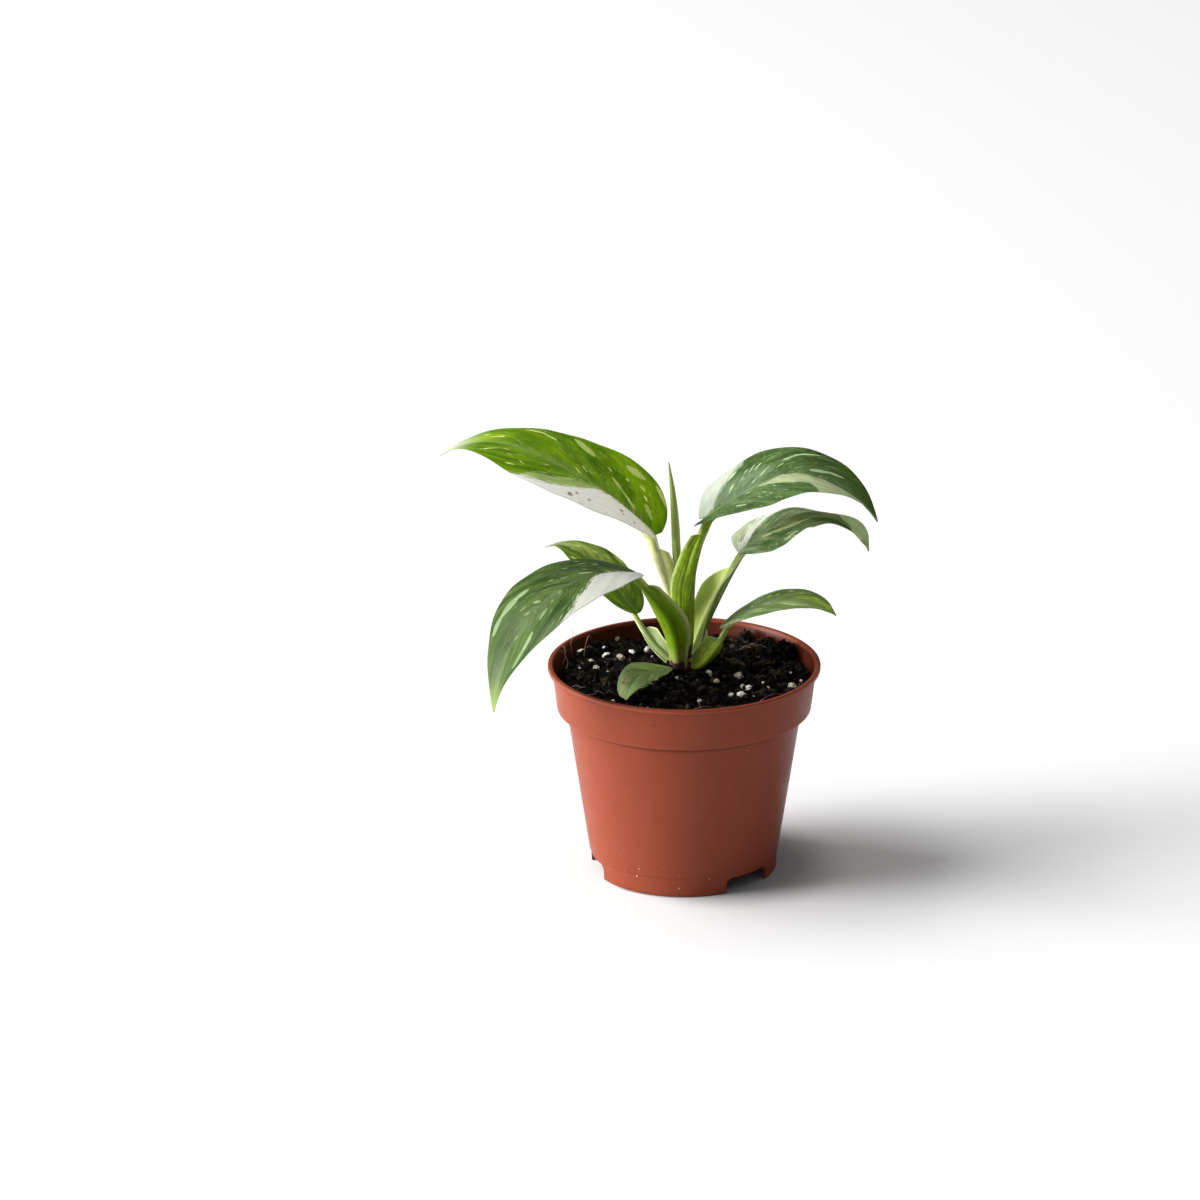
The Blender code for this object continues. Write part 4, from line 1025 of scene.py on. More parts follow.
def pot_outline(lip_rounding):
    lip_foot = POT_HEIGHT - LIP_HEIGHT
    foot_inside = FOOT_RADIUS - POT_WALL
    return rounded((
        (0.0, FLOOR_BOTTOM),
        (foot_inside, FLOOR_BOTTOM, 0.0005),
        (foot_inside, 0.0, 0.0003),
        (FOOT_RADIUS, 0.0, 0.0005),
        (BODY_FOOT_RADIUS - 0.00045, FOOT_HEIGHT - 0.0002, 0.0001),
        (BODY_FOOT_RADIUS, FOOT_HEIGHT + 0.0002, 0.0003),
        (BODY_TOP_RADIUS, COLLAR_FOOT, 0.0005),
        (COLLAR_FOOT_RADIUS, COLLAR_FOOT, 0.0004),
        (COLLAR_TOP_RADIUS, lip_foot, 0.0004),
        (LIP_RADIUS, lip_foot, lip_rounding),
        (LIP_RADIUS, POT_HEIGHT, lip_rounding),
        (COLLAR_TOP_RADIUS - 0.0001, POT_HEIGHT, 0.0006),
        (COLLAR_TOP_RADIUS - 0.0006, POT_HEIGHT - 0.0016, 0.0004),
        (COLLAR_FOOT_RADIUS - POT_WALL, COLLAR_FOOT + POT_WALL, 0.0006),
        (BODY_TOP_RADIUS - POT_WALL, COLLAR_FOOT + POT_WALL / 2, 0.0006),
        (BODY_FOOT_RADIUS - POT_WALL, FLOOR_TOP, 0.001),
        (0.0, FLOOR_TOP),
    ))


def notch_mesh(azimuth):
    """A bar with two rounded upper edges that runs out through the foot ring."""
    outline = [(-NOTCH_HALF_WIDTH, -NOTCH_MARGIN), (NOTCH_HALF_WIDTH, -NOTCH_MARGIN)]
    corner = NOTCH_HALF_WIDTH - NOTCH_CORNER
    for centre, first in ((corner, 0.0), (-corner, 90.0)):
        for step in range(9):
            angle = math.radians(first + 11.25 * step)
            outline.append((centre + NOTCH_CORNER * math.cos(angle),
                            NOTCH_HEIGHT - NOTCH_CORNER + NOTCH_CORNER * math.sin(angle)))
    turn = math.radians(azimuth)
    out = Vector((math.cos(turn), math.sin(turn), 0.0))
    across = Vector((-math.sin(turn), math.cos(turn), 0.0))
    vertices = []
    for distance in (BODY_FOOT_RADIUS + 1.5 * NOTCH_MARGIN, FOOT_RADIUS * 0.80):
        for side, height in outline:
            vertices.append(out * distance + across * side + Vector((0.0, 0.0, height)))
    return vertices, [tuple(reversed(face)) for face in tube_faces(2, len(outline))]


def cut_away(body, cutters):
    """The body less every cutter, as vertices and faces."""
    objects = []
    for index, (vertices, faces) in enumerate([body] + cutters):
        mesh = bpy.data.meshes.new(f"cutting_{index}")
        mesh.from_pydata([tuple(v) for v in vertices], [], faces)
        objects.append(link(bpy.data.objects.new(mesh.name, mesh)))
    for cutter in objects[1:]:
        modifier = objects[0].modifiers.new(cutter.name, "BOOLEAN")
        modifier.operation, modifier.solver, modifier.object = "DIFFERENCE", "EXACT", cutter
    result = evaluated_mesh(objects[0])
    vertices = [tuple(v.co) for v in result.vertices]
    faces = [tuple(p.vertices) for p in result.polygons]
    meshes = [thing.data for thing in objects] + [result]
    for thing in objects:
        bpy.data.objects.remove(thing)
    for mesh in meshes:
        bpy.data.meshes.remove(mesh)
    return vertices, faces


def plastic_material(values):
    """Satin moulded plastic with faint flow marks, a few scuffs and flecks of grit, and painted
    highlights and shade at the rim and collar.
    """
    material, tree, shader = new_material("terracotta_plastic")
    centred = tree.stretched(tree.own_place(), location=(-AXIS.x, -AXIS.y, 0.0))
    x, y, z = tree.axes(centred)
    base = tuple(values.plastic)
    soft = tree.times(mottle(tree, centred, 26.0, 0.30, 0.75), 0.55)
    colour = tree.mix(soft, base, toned(base, 0.93))
    dust = tree.times(mottle(tree, centred, 75.0, 0.50, 0.95), 0.22)
    colour = tree.mix(dust, colour, blended(base, PLASTIC_DUST, 0.14))
    unrolled = tree.join(tree.times(tree.math("ARCTAN2", y, x), 0.05), z, 0.0)
    flow = tree.noise(tree.stretched(unrolled, (34.0, 6.0, 1.0)), 6.0, 3.0, 0.55)
    colour = tree.mix(tree.between(flow, 0.0, 0.22, 0.45, 0.75), colour, toned(base, 0.80))
    outer = tree.between(tree.away(z, POT_HEIGHT / 2.0), 0.12, 0.6, 0.016, 0.030)
    pale = tree.times(specks(tree, centred, 330.0, 0.030, 0.15), outer)
    colour = tree.mix(pale, colour, PLASTIC_SPECK)
    near_foot = tree.between(z, 1.0, 0.0, 0.001, 0.016)
    grit = tree.times(specks(tree, centred, 520.0, 0.10, 0.22), near_foot, 0.7)
    colour = tree.mix(grit, colour, PLASTIC_GRIT)
    # Painted light: highlights on the collar's lower edge and the lip, and painted shade under the
    # collar, on the rim's top face and under the lip.
    for level, width, tone in PAINTED_LIGHT_BANDS:
        line = tree.between(tree.away(z, level), 0.8, 0.0, width * 0.3, width, smooth=True)
        colour = tree.mix(line, colour, tree.scale(colour, tone))
    # Painted shade: the inside of the collar is darkened.
    radius = tree.math("SQRT", tree.plus(tree.times(x, x), tree.times(y, y)))
    middle = tree.between(z, COLLAR_FOOT_RADIUS - 0.0003, COLLAR_TOP_RADIUS - 0.0003,
                          COLLAR_FOOT, POT_HEIGHT - LIP_HEIGHT)
    inward = tree.between(tree.minus(middle, radius), 0.0, 1.0, 0.0, 0.0002)
    collar = tree.between(z, 0.0, 1.0, COLLAR_FOOT + 0.001, COLLAR_FOOT + 0.003)
    inward = tree.times(inward, collar)
    colour = tree.mix(inward, colour, tree.scale(colour, COLLAR_INSIDE_SHADE))
    near_rim = tree.between(z, 0.25, 1.0, 0.045, 0.072)
    splashes = tree.times(specks(tree, centred, 260.0, 0.05, 0.13), near_rim, 0.85)
    colour = tree.mix(splashes, colour, PLASTIC_SPLASH)
    rough = tree.between(tree.noise(centred, 70.0, 4.0, 0.6), values.roughness - 0.07,
                         values.roughness + 0.09, 0.3, 0.7)
    rings = tree.noise(tree.stretched(centred, (1.0, 1.0, 26.0)), 40.0, 2.0, 0.5)
    peel = tree.noise(centred, 900.0, 2.0, 0.5)
    relief = tree.plus(tree.times(rings, 0.7), tree.times(peel, 0.3))
    tree.dress(shader, colour, rough, relief, 0.25, 0.0002, {"Specular IOR Level": 0.16})
    return material


def build_pot():
    values = settings().pot
    body = turned(pot_outline(values.lip_rounding), values.segments)
    cutters = [notch_mesh(NOTCH_FIRST + 360.0 * index / NOTCH_COUNT)
               for index in range(NOTCH_COUNT)]
    drill = ((0.0, 0.0), (HOLE_RADIUS, 0.0), (HOLE_RADIUS, HOLE_DRILL), (0.0, HOLE_DRILL))
    for index in range(HOLE_COUNT):
        angle = 2.0 * math.pi * (index + 0.5) / HOLE_COUNT
        cutters.append(turned(drill, HOLE_SIDES, HOLE_CIRCLE * math.cos(angle),
                              HOLE_CIRCLE * math.sin(angle)))
    vertices, faces = cut_away(body, cutters)
    make_piece("nursery_pot", vertices, faces, plastic_material(values), ["pot"],
               "terracotta_plastic", 34.0)


# ---- the mix --------------------------------------------------------------------------

def soil_height(x, y):
    """Height of the mix as the part has it."""
    height = SOIL_LEVEL
    for mound_x, mound_y, rise, spread in SOIL_MOUNDS:
        squared = (x - mound_x) ** 2 + (y - mound_y) ** 2
        height += rise * math.exp(-squared / (2.0 * spread ** 2))
    # The part's own roughness, scale for scale.
    height += SOIL_ROUGHNESS * noise.noise(Vector((x, y, 0.0)) * 140.0)
    height += SOIL_ROUGHNESS * 0.6 * noise.noise(Vector((x, y, 0.02)) * 330.0)
    return height


def crumbly_height(x, y):
    """The mix's height with its clods and crumbs."""
    point = Vector((x, y, 0.0))
    clods = noise.cell(point * MIX_CLODS[0]) * MIX_CLODS[1]
    ridges = abs(noise.noise(point * MIX_RIDGES[0] + Vector((3.0, 1.0, 0.0)))) * MIX_RIDGES[1]
    crumbs = noise.noise(point * MIX_CRUMBS[0]) * MIX_CRUMBS[1]
    fine = noise.noise(point * MIX_FINE[0]) * MIX_FINE[1]
    return soil_height(x, y) - MIX_SINK + clods * 0.5 + ridges + crumbs + fine


def mix_mesh(rings=88, segments=220):
    """The whole body of mix: its side follows the pot and its top is crumbly. Also returns,
    for each face, whether loose bits may lie on it."""
    inside = POT_WALL + SOIL_CLEARANCE
    side = ((BODY_FOOT_RADIUS - inside, FLOOR_TOP + SOIL_CLEARANCE),
            (BODY_TOP_RADIUS - inside, COLLAR_FOOT + POT_WALL / 2),
            (COLLAR_FOOT_RADIUS - inside, COLLAR_FOOT + POT_WALL + SOIL_CLEARANCE))
    section = ((0.0, FLOOR_TOP + SOIL_CLEARANCE), *side, (0.0, SOIL_LEVEL))
    vertices, lower = turned(section, segments)
    vertices.pop()
    faces = [face for face in lower if max(face) < len(vertices)]
    edge = len(vertices) - segments
    radius = pot_wall_radius(SOIL_LEVEL) - inside
    for ring in range(rings):
        part = 1.0 - ring / rings
        for step in range(segments):
            angle = 2.0 * math.pi * step / segments
            x, y = radius * part * math.cos(angle), radius * part * math.sin(angle)
            vertices.append((x, y, crumbly_height(x, y)))
    vertices.append((0.0, 0.0, crumbly_height(0.0, 0.0)))
    loose = [False] * len(faces)
    for ring in range(rings):
        low = edge + ring * segments
        for step in range(segments):
            following = (step + 1) % segments
            high = low + segments
            faces.append((low + step, low + following, high + following, high + step))
            loose.append(ring >= MIX_BARE_RINGS)
    last = edge + rings * segments
    for step in range(segments):
        faces.append((last + step, last + (step + 1) % segments, len(vertices) - 1))
        loose.append(True)
    return vertices, faces, loose


def peat_material(name, values, tone):
    """Damp peat: near black, with browner crumbs and a little shine on wet faces."""
    material, tree, shader = new_material(name)
    place = tree.own_place()
    chance = tree.axes(tree.cells(place, 620.0)[1])[0]
    brown = toned(PEAT_BROWN, tone)
    colour = tree.mix(tree.between(chance, 0.0, 1.0, 0.62, 0.86), toned(values.peat, tone), brown)
    colour = tree.mix(tree.between(chance, 0.0, 0.6, 0.955, 0.99), colour, toned(PEAT_GREY, tone))
    fine = tree.noise(place, 2600.0, 3.0, 0.6)
    colour = tree.mix(tree.between(fine, 0.0, 0.5, 0.55, 0.75), colour, brown)
    damp = mottle(tree, place, 300.0, 0.4, 0.7)
    tree.dress(shader, colour, tree.between(damp, 0.95, 0.62),
               tree.noise(place, 1500.0, 4.0, 0.65), 1.0, 0.0007, {"Specular IOR Level": 0.07})
    return material


def scatter_tree(name, material, long_bits):
    """Loose bits on the faces marked as loose: crumbs, or slivers that are long and thin."""
    group = bpy.data.node_groups.new(name, "GeometryNodeTree")
    group.is_modifier = True
    new = group.interface.new_socket
    new("Geometry", in_out="INPUT", socket_type="NodeSocketGeometry")
    for key, default in (("Density", 1.0), ("Smallest", 0.0005), ("Largest", 0.002),
                         ("Length", 1.0)):
        new(key, in_out="INPUT", socket_type="NodeSocketFloat").default_value = default
    new("Seed", in_out="INPUT", socket_type="NodeSocketInt").default_value = 1
    new("Geometry", in_out="OUTPUT", socket_type="NodeSocketGeometry")
    tree = Tree(group)
    given = tree.add("NodeGroupInput").outputs
    loose = tree.add("GeometryNodeInputNamedAttribute", {"Name": "loose"}, data_type="BOOLEAN")
    spread = tree.add("GeometryNodeDistributePointsOnFaces", {
        "Mesh": given["Geometry"], "Selection": loose.outputs["Attribute"],
        "Density": given["Density"], "Seed": given["Seed"]}, distribute_method="RANDOM")
    corners = {"Vertices X": 2, "Vertices Y": 2, "Vertices Z": 5} if long_bits else {
        "Vertices X": 3, "Vertices Y": 3, "Vertices Z": 3}
    shapes = tree.add("GeometryNodeJoinGeometry")
    for variant in range(3):
        block = tree.add("GeometryNodeMeshCube", {"Size": (2.0, 2.0, 2.0), **corners})
        here = tree.add("GeometryNodeInputPosition").outputs[0]
        ball = tree.vector("NORMALIZE", here)
        apart = tree.vector("ADD", ball, (3.1 * variant, 1.7, 0.0))
        lumps = tree.noise(apart, 1.1, 3.0, 0.6, colour=True)
        shift = tree.scale(tree.vector("SUBTRACT", lumps, (0.5, 0.5, 0.5)), 1.5)
        start = here if long_bits else ball
        shaped = tree.add("GeometryNodeSetPosition", {
            "Geometry": block.outputs["Mesh"], "Position": tree.vector("ADD", start, shift)})
        wrapped = tree.add("GeometryNodeGeometryToInstance", {"Geometry": shaped.outputs[0]})
        tree.tree.links.new(wrapped.outputs[0], shapes.inputs[0])

    def random_vector(low, high, later):
        seed = tree.plus(given["Seed"], later)
        made = tree.add("FunctionNodeRandomValue", {0: low, 1: high, "Seed": seed},
                        data_type="FLOAT_VECTOR")
        return made.outputs["Value"]

    chance = tree.add("FunctionNodeRandomValue", {"Seed": given["Seed"]}, data_type="FLOAT")
    size = tree.between(tree.math("POWER", chance.outputs["Value"], 3.2), given["Smallest"],
                        given["Largest"])
    across = tree.scale(random_vector((0.65, 0.65, 0.5), (1.25, 1.25, 0.95), 7.0), size)
    lean, rise = (-3.2, -3.2, -3.2), (3.2, 3.2, 3.2)
    if long_bits:
        across = tree.vector("MULTIPLY", across, tree.join(1.0, 1.0, given["Length"]))
        lean, rise = (1.2, -0.6, -3.2), (1.9, 0.6, 3.2)
    turn = random_vector(lean, rise, 19.0)
    placed = tree.add("GeometryNodeInstanceOnPoints", {
        "Points": spread.outputs["Points"], "Instance": shapes.outputs[0], "Pick Instance": True,
        "Rotation": turn, "Scale": across})
    real = tree.add("GeometryNodeRealizeInstances", {"Geometry": placed.outputs[0]})
    painted = tree.add("GeometryNodeSetMaterial",
                       {"Geometry": real.outputs[0], "Material": material})
    tree.add("NodeGroupOutput", {"Geometry": painted.outputs[0]})
    return group


def scatter(name, ground, group, inputs, smooth):
    """A piece made by a scatter tree on a copy of the ground, turned into a plain mesh."""
    maker = link(bpy.data.objects.new(name + "_maker", ground))
    modifier = maker.modifiers.new("scatter", "NODES")
    modifier.node_group = group
    for item in group.interface.items_tree:
        if item.item_type == "SOCKET" and item.in_out == "INPUT" and item.name in inputs:
            modifier[item.identifier] = inputs[item.name]
    mesh = evaluated_mesh(maker)
    bpy.data.objects.remove(maker)
    if not mesh.polygons:
        raise RuntimeError(name + " came out empty")
    mesh.name = name
    return settle(mesh, [], smooth)


def build_mix():
    values = settings().mix
    vertices, faces, loose = mix_mesh()
    body = make_piece("mix_body", vertices, faces, peat_material("damp_peat", values, 1.0),
                      ["potting_mix"], "potting_mix", 60.0)
    ground = body.data.copy()
    marks = ground.attributes.new("loose", "BOOLEAN", "FACE")
    marks.data.foreach_set("value", loose)
    crumbs = scatter_tree("Crumbs", peat_material("peat_crumbs", values, 1.2), False)
    scatter("mix_crumbs", ground, crumbs, {
        "Density": values.crumb_density, "Smallest": values.crumb_smallest,
        "Largest": values.crumb_largest, "Seed": values.seed}, 50.0)
    slivers = scatter_tree("Slivers", sliver_material(), True)
    scatter("mix_slivers", ground, slivers, {
        "Density": values.sliver_density, "Smallest": SLIVER_RADII[0], "Largest": SLIVER_RADII[1],
        "Length": SLIVER_LENGTH, "Seed": values.seed + 1}, 0.0)
    bpy.data.meshes.remove(ground)


def sliver_material():
    """Thin shreds of bark and coir."""
    material, tree, shader = new_material("coir_slivers")
    place = tree.own_place()
    tone = tree.noise(place, 260.0, 2.0, 0.6)
    colour = tree.mix(tree.between(tone, 0.0, 1.0, 0.45, 0.75), COIR_DARK, COIR_PALE)
    tree.dress(shader, colour, tree.between(tree.noise(place, 900.0), 0.6, 0.95),
               tree.noise(place, 2400.0, 3.0), 0.5, 0.0003)
    return material


def lump(centre, half_sizes, azimuth, subdivisions, roughness, seed, grain):
    """A rough lump: a ball pushed in and out, stretched and turned."""
    maker = bmesh.new()
    bmesh.ops.create_icosphere(maker, subdivisions=subdivisions, radius=1.0)
    maker.verts.ensure_lookup_table()
    turn = math.radians(azimuth)
    vertices = []
    for vertex in maker.verts:
        away = vertex.co
        bump = 1.0 + roughness * noise.noise(away * grain + Vector((seed, 0.0, 0.0)))
        bump += roughness * 0.45 * noise.noise(away * grain * 2.6 + Vector((0.0, seed, 0.0)))
        point = [away[axis] * half_sizes[axis] * bump for axis in range(3)]
        vertices.append((centre[0] + point[0] * math.cos(turn) - point[1] * math.sin(turn),
                         centre[1] + point[0] * math.sin(turn) + point[1] * math.cos(turn),
                         centre[2] + point[2]))
    faces = [tuple(vertex.index for vertex in face.verts) for face in maker.faces]
    maker.free()
    return vertices, faces


def gather(parts):
    """Several closed shapes as one list of vertices and faces, with each vertex's share."""
    vertices, faces, shares = [], [], []
    for share, (points, polygons) in parts:
        start = len(vertices)
        vertices += points
        faces += [tuple(start + corner for corner in polygon) for polygon in polygons]
        shares += [(share, 0.0, 0.0)] * len(points)
    return vertices, faces, shares


def perlite_material(values):
    """Puffed mineral: chalky white grains, some stained by the mix."""
    material, tree, shader = new_material("perlite_grains")
    place = tree.own_place()
    clean = tree.axes(tree.attribute("grain"))[0]
    colour = tree.mix(clean, PERLITE_STAINED, tuple(values.perlite))
    pits = tree.cells(place, 2300.0)[0]
    colour = tree.mix(tree.between(pits, 0.30, 0.0, 0.1, 0.45), colour, PERLITE_PIT)
    dirt = tree.times(mottle(tree, place, 700.0, 0.54, 0.74), 0.7)
    colour = tree.mix(dirt, colour, PERLITE_DIRT)
    tree.dress(shader, colour, tree.between(pits, 0.95, 0.75), pits, 0.9, 0.0003)
    return material


def build_lumps(name, parts, material, nodes, slot, smooth):
    vertices, faces, shares = gather(parts)
    piece = make_piece(name, vertices, faces, material, nodes, slot, smooth)
    store(piece.data, "grain", shares)


def build_perlite():
    parts = []
    for index, (x, y, wide, high, clean) in enumerate(GRAINS):
        place = (x / 1000.0, y / 1000.0)
        half = (wide / 2000.0, wide / 2300.0, high / 2000.0)
        centre = (*place, crumbly_height(*place) + 0.45 * half[2])
        detail = 4 if wide > 2.5 else 3
        parts.append((clean, lump(centre, half, 40.0 * index, detail, 0.36, 7.3 * index, 1.6)))
    build_lumps("perlite_grains", parts, perlite_material(settings().mix),
                [f"perlite_{index}" for index in range(1, 11)], "perlite", 55.0)


def bark_material():
    """Composted bark: dark brown with paler torn grain."""
    material, tree, shader = new_material("composted_bark")
    place = tree.own_place()
    pale = tree.axes(tree.attribute("grain"))[0]
    grain = tree.noise(tree.stretched(place, (1.0, 1.7, 4.0)), 700.0, 5.0, 0.65)
    colour = tree.mix(tree.between(grain, 0.0, 0.75, 0.45, 0.68),
                      tree.mix(pale, BARK_DARK, BARK_PALE), BARK_DARK)
    tree.dress(shader, colour, tree.between(grain, 0.7, 0.95), grain, 1.0, 0.0009,
               {"Specular IOR Level": 0.08})
    return material


def build_bark():
    parts = []
    for index, (x, y, *sizes, azimuth, pale) in enumerate(CHIPS):
        place = (x / 1000.0, y / 1000.0)
        half = [size / 1000.0 for size in sizes]
        centre = (*place, soil_height(*place) + 0.35 * half[2])
        parts.append((pale, lump(centre, half, azimuth, 4, 0.8, 5.1 * index + 2.0, 2.3)))
    build_lumps("bark_chips", parts, bark_material(),
                [f"bark_chip_{index}" for index in range(1, 5)], "bark", 38.0)


def fibre_material(name, tints):
    """A thin dry or living root, mottled between a pale and a dark tint."""
    material, tree, shader = new_material(name)
    place = tree.own_place()
    tree.dress(shader, tree.mix(mottle(tree, place, 420.0), *tints),
               tree.between(tree.noise(place, 800.0), 0.55, 0.85),
               tree.noise(place, 1800.0, 3.0), 0.4, 0.0002)
    return material


def tube(course, radii, around, stations, flatness=1.0, twist=None):
    """A round or flattened tube along a smooth course, tapering through the radii. twist
    gives the share of the radius at each angle and station."""
    position = np.linspace(0.0, 1.0, stations)
    centres = along(course, position)
    radius = along(radii, position)
    forward = unit(np.gradient(centres, axis=0))
    reference = (0.0, -1.0, 0.0) if abs(forward[:, 1]).max() < 0.9 else (1.0, 0.0, 0.0)
    side = unit(np.cross(reference, forward))
    front = np.cross(forward, side)
    vertices = []
    for ring in range(stations):
        for step in range(around):
            angle = 2.0 * math.pi * step / around
            share = twist(angle, position[ring]) if twist else 1.0
            out = side[ring] * math.cos(angle) + front[ring] * math.sin(angle) * flatness
            vertices.append(centres[ring] + out * radius[ring] * share)
    return vertices, tube_faces(stations, around)


def build_fibres():
    parts = []
    for course in FIBRES:
        points = [tuple(value / 1000.0 for value in point) for point in course]
        parts.append((0.5, tube(points, FIBRE_RADII, 8, 26)))
    vertices, faces, _ = gather(parts)
    make_piece("root_fibres", vertices, faces, fibre_material("dry_root_fibre", DRY_FIBRE), [],
               "root", 60.0)


def finish_roots():
    material = fibre_material("living_root", LIVING_ROOT)
    for name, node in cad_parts.items():
        if name.startswith("root_"):
            node.data.materials.clear()
            node.data.materials.append(material)


# ---- the blades -----------------------------------------------------------------------

def blade_frame(leaf, position):
    """The midrib's points with its forward, left and upward directions."""
    fine = np.linspace(0.0, 1.0, 241)
    pitch, heading, roll = (np.radians(along(leaf[key], fine))
                            for key in ("pitch", "heading", "roll"))
    level_part = np.cos(pitch)
    forward = np.stack([level_part * np.cos(heading), level_part * np.sin(heading),
                        np.sin(pitch)], axis=-1)
    steps = (forward[1:] + forward[:-1]) / 2.0 * leaf["length"] / (len(fine) - 1)
    midrib = np.concatenate([np.zeros((1, 3)), np.cumsum(steps, axis=0)]) + np.array(leaf["base"])
    level = np.stack([-np.sin(heading), np.cos(heading), np.zeros_like(heading)], axis=-1)
    upright = np.cross(forward, level)
    side = np.cos(roll)[:, None] * level + np.sin(roll)[:, None] * upright
    normal = np.cross(forward, side)

    def read(values):
        return np.stack([np.interp(position, fine, column) for column in values.T], axis=-1)

    return read(midrib), read(forward), read(side), read(normal)


def blade_width(leaf, bulges, position, side):
    """Half width of the blade at places along the midrib, on the side of 1 or -1."""
    low, high = leaf["shape"]
    peak = low / (low + high)
    narrowing = ((1.0 - position) / (1.0 - peak)) ** high
    width = leaf["half_width"] * (position / peak) ** low * narrowing
    for place, bulge_side, depth, spread in bulges:
        if bulge_side == side:
            width = width * (1.0 + depth * np.exp(-((position - place) / spread) ** 2))
    return width


def blade_surface(leaf, bulges, position, spread):
    """Points of a blade's middle surface: rows follow the midrib, columns cross it."""
    midrib, forward, side, normal = blade_frame(leaf, position)
    curl = math.radians(leaf["curl"])
    widths = {sign: blade_width(leaf, bulges, position, sign)[:, None] for sign in (1, -1)}
    surface = np.empty((len(position), len(spread), 3))
    for column, place in enumerate(spread):
        reach = abs(place)
        sign, key = (1, "fold_left") if place >= 0.0 else (-1, "fold_right")
        width = widths[sign]
        fold = np.radians(along(leaf[key], position))[:, None]
        sideways = (np.sin(fold) - np.sin(fold - curl * reach)) / curl
        upwards = (np.cos(fold - curl * reach) - np.cos(fold)) / curl
        back = leaf["lobe"][0 if place >= 0.0 else 1] * reach * (1.0 - position[:, None]) ** 6
        surface[:, column] = midrib + sign * side * width * sideways
        surface[:, column] += normal * width * upwards - forward * back
    return surface


def vein_start(position, spread):
    """Where on the midrib the side vein through a place begins."""
    reach = np.abs(spread)
    slower = 1.0 + VEIN_SPREAD[0] * reach + VEIN_SPREAD[1] * reach**2
    return (position - VEIN_SLANT * reach - VEIN_SLANT * reach**2) / slower


def blade_mesh(name, values):
    """Vertices and faces of a blade, with its places for the material."""
    leaf, look = LEAVES[name], BLADES[name]
    rows, columns = look["rows"], look["columns"] + 1
    turn = np.linspace(0.0, math.pi, rows)
    position = FIRST_ROW + ROW_SPAN * (1.0 - np.cos(turn)) / 2.0
    place = np.linspace(-1.0, 1.0, columns)
    spread = np.sign(place) * np.abs(place) ** COLUMN_CROWDING
    middle = blade_surface(leaf, look["bulges"], position, spread)
    normal = unit(np.cross(np.gradient(middle, axis=0), np.gradient(middle, axis=1)))
    along_rib, across = position[:, None], spread[None, :]
    reach, side, to_tip = np.abs(across), np.sign(across), 1.0 - along_rib
    size = leaf["half_width"] / FULL_HALF_WIDTH
    ends = np.clip(along_rib / 0.12, 0.0, 1.0) * np.clip(to_tip / 0.25, 0.0, 1.0)
    veins = vein_start(along_rib, across)
    ripple = np.cos(2.0 * math.pi * look["veins"] * veins + VEIN_SHIFT * side)
    lift = values.vein_relief * size * ripple * np.clip(reach * 4.0, 0.0, 1.0)
    lift = lift * (1.0 - reach**4) * ends
    wave = sum(share * np.sin(2.0 * math.pi * (count * along_rib + shift * side))
               for count, shift, share in MARGIN_WAVES)
    lift = lift + values.margin_wave * size * wave * reach**4 * ends
    left, right = (blade_width(leaf, look["bulges"], position, sign)[:, None]
                   for sign in (1, -1))
    from_rib = across * np.where(across >= 0.0, left, right)
    groove = GROOVE_DEPTH * size * np.exp(-(from_rib / GROOVE_WIDTH) ** 2) * to_tip
    rib = values.midrib * size * np.exp(-(from_rib / RIB_WIDTH) ** 2) * to_tip ** 0.8
    half = values.blade_thickness / 2.0 * (1.0 - MARGIN_THINNING * reach**6)
    half = half * np.clip(0.45 + 4.0 * to_tip, 0.0, 1.0)
    middle = middle + normal * lift[..., None]
    top = middle + normal * (half - groove)[..., None]
    bottom = middle - normal * (half + rib)[..., None]
    vertices = np.concatenate([top.reshape(-1, 3), bottom.reshape(-1, 3)])
    under = rows * columns
    grid = np.arange(under).reshape(rows, columns)
    faces = []
    for row in range(rows - 1):
        for column in range(columns - 1):
            here = row * columns + column
            corners = (here, here + columns, here + columns + 1, here + 1)
            faces.append(corners)
            faces.append(tuple(under + corner for corner in reversed(corners)))
    border = [*grid[:, 0], *grid[-1, 1:], *grid[-2::-1, -1], *grid[0, -2:0:-1]]
    border = [int(corner) for corner in border]
    for here, there in zip(border, border[1:] + border[:1]):
        faces.append((there, here, under + here, under + there))

    def both_sides(*parts, below=0.0):
        values = np.stack(np.broadcast_arrays(*parts), axis=-1).reshape(-1, 3)
        return np.concatenate([values, values + (0.0, 0.0, below)])

    part = both_sides(along_rib, across, veins)
    flat = both_sides(along_rib * leaf["length"] * 1000.0, from_rib * 1000.0, 0.0, below=1.0)
    return vertices, faces, part, flat


def border_curve(tree, position, points):
    """A border's distance from the midrib, read along the midrib through given points."""
    lowest, highest = 0.1, 1.3
    made = tree.add("ShaderNodeFloatCurve", {"Value": position})
    curve = made.mapping.curves[0]
    made.mapping.use_clip = False
    shares = [(x / 100.0, (y / 100.0 + lowest) / highest) for x, y in points]
    for share in shares[1:-1]:
        curve.points.new(*share)
    ends = sorted(curve.points, key=lambda point: point.location[0])
    ends[0].location, ends[-1].location = shares[0], shares[-1]
    for point in curve.points:
        point.handle_type = "VECTOR"
    made.mapping.update()
    return tree.minus(tree.times(made.outputs[0], highest), lowest)


def flat_place(name, place):
    """A place on a blade in millimetres, as the material's flat map has it."""
    leaf = LEAVES[name]
    position, reach = (hundredths / 100.0 for hundredths in place)
    width = blade_width(leaf, (), np.array([position]), 1)[0]
    return (position * leaf["length"] * 1000.0, reach * width * 1000.0, 0.0)


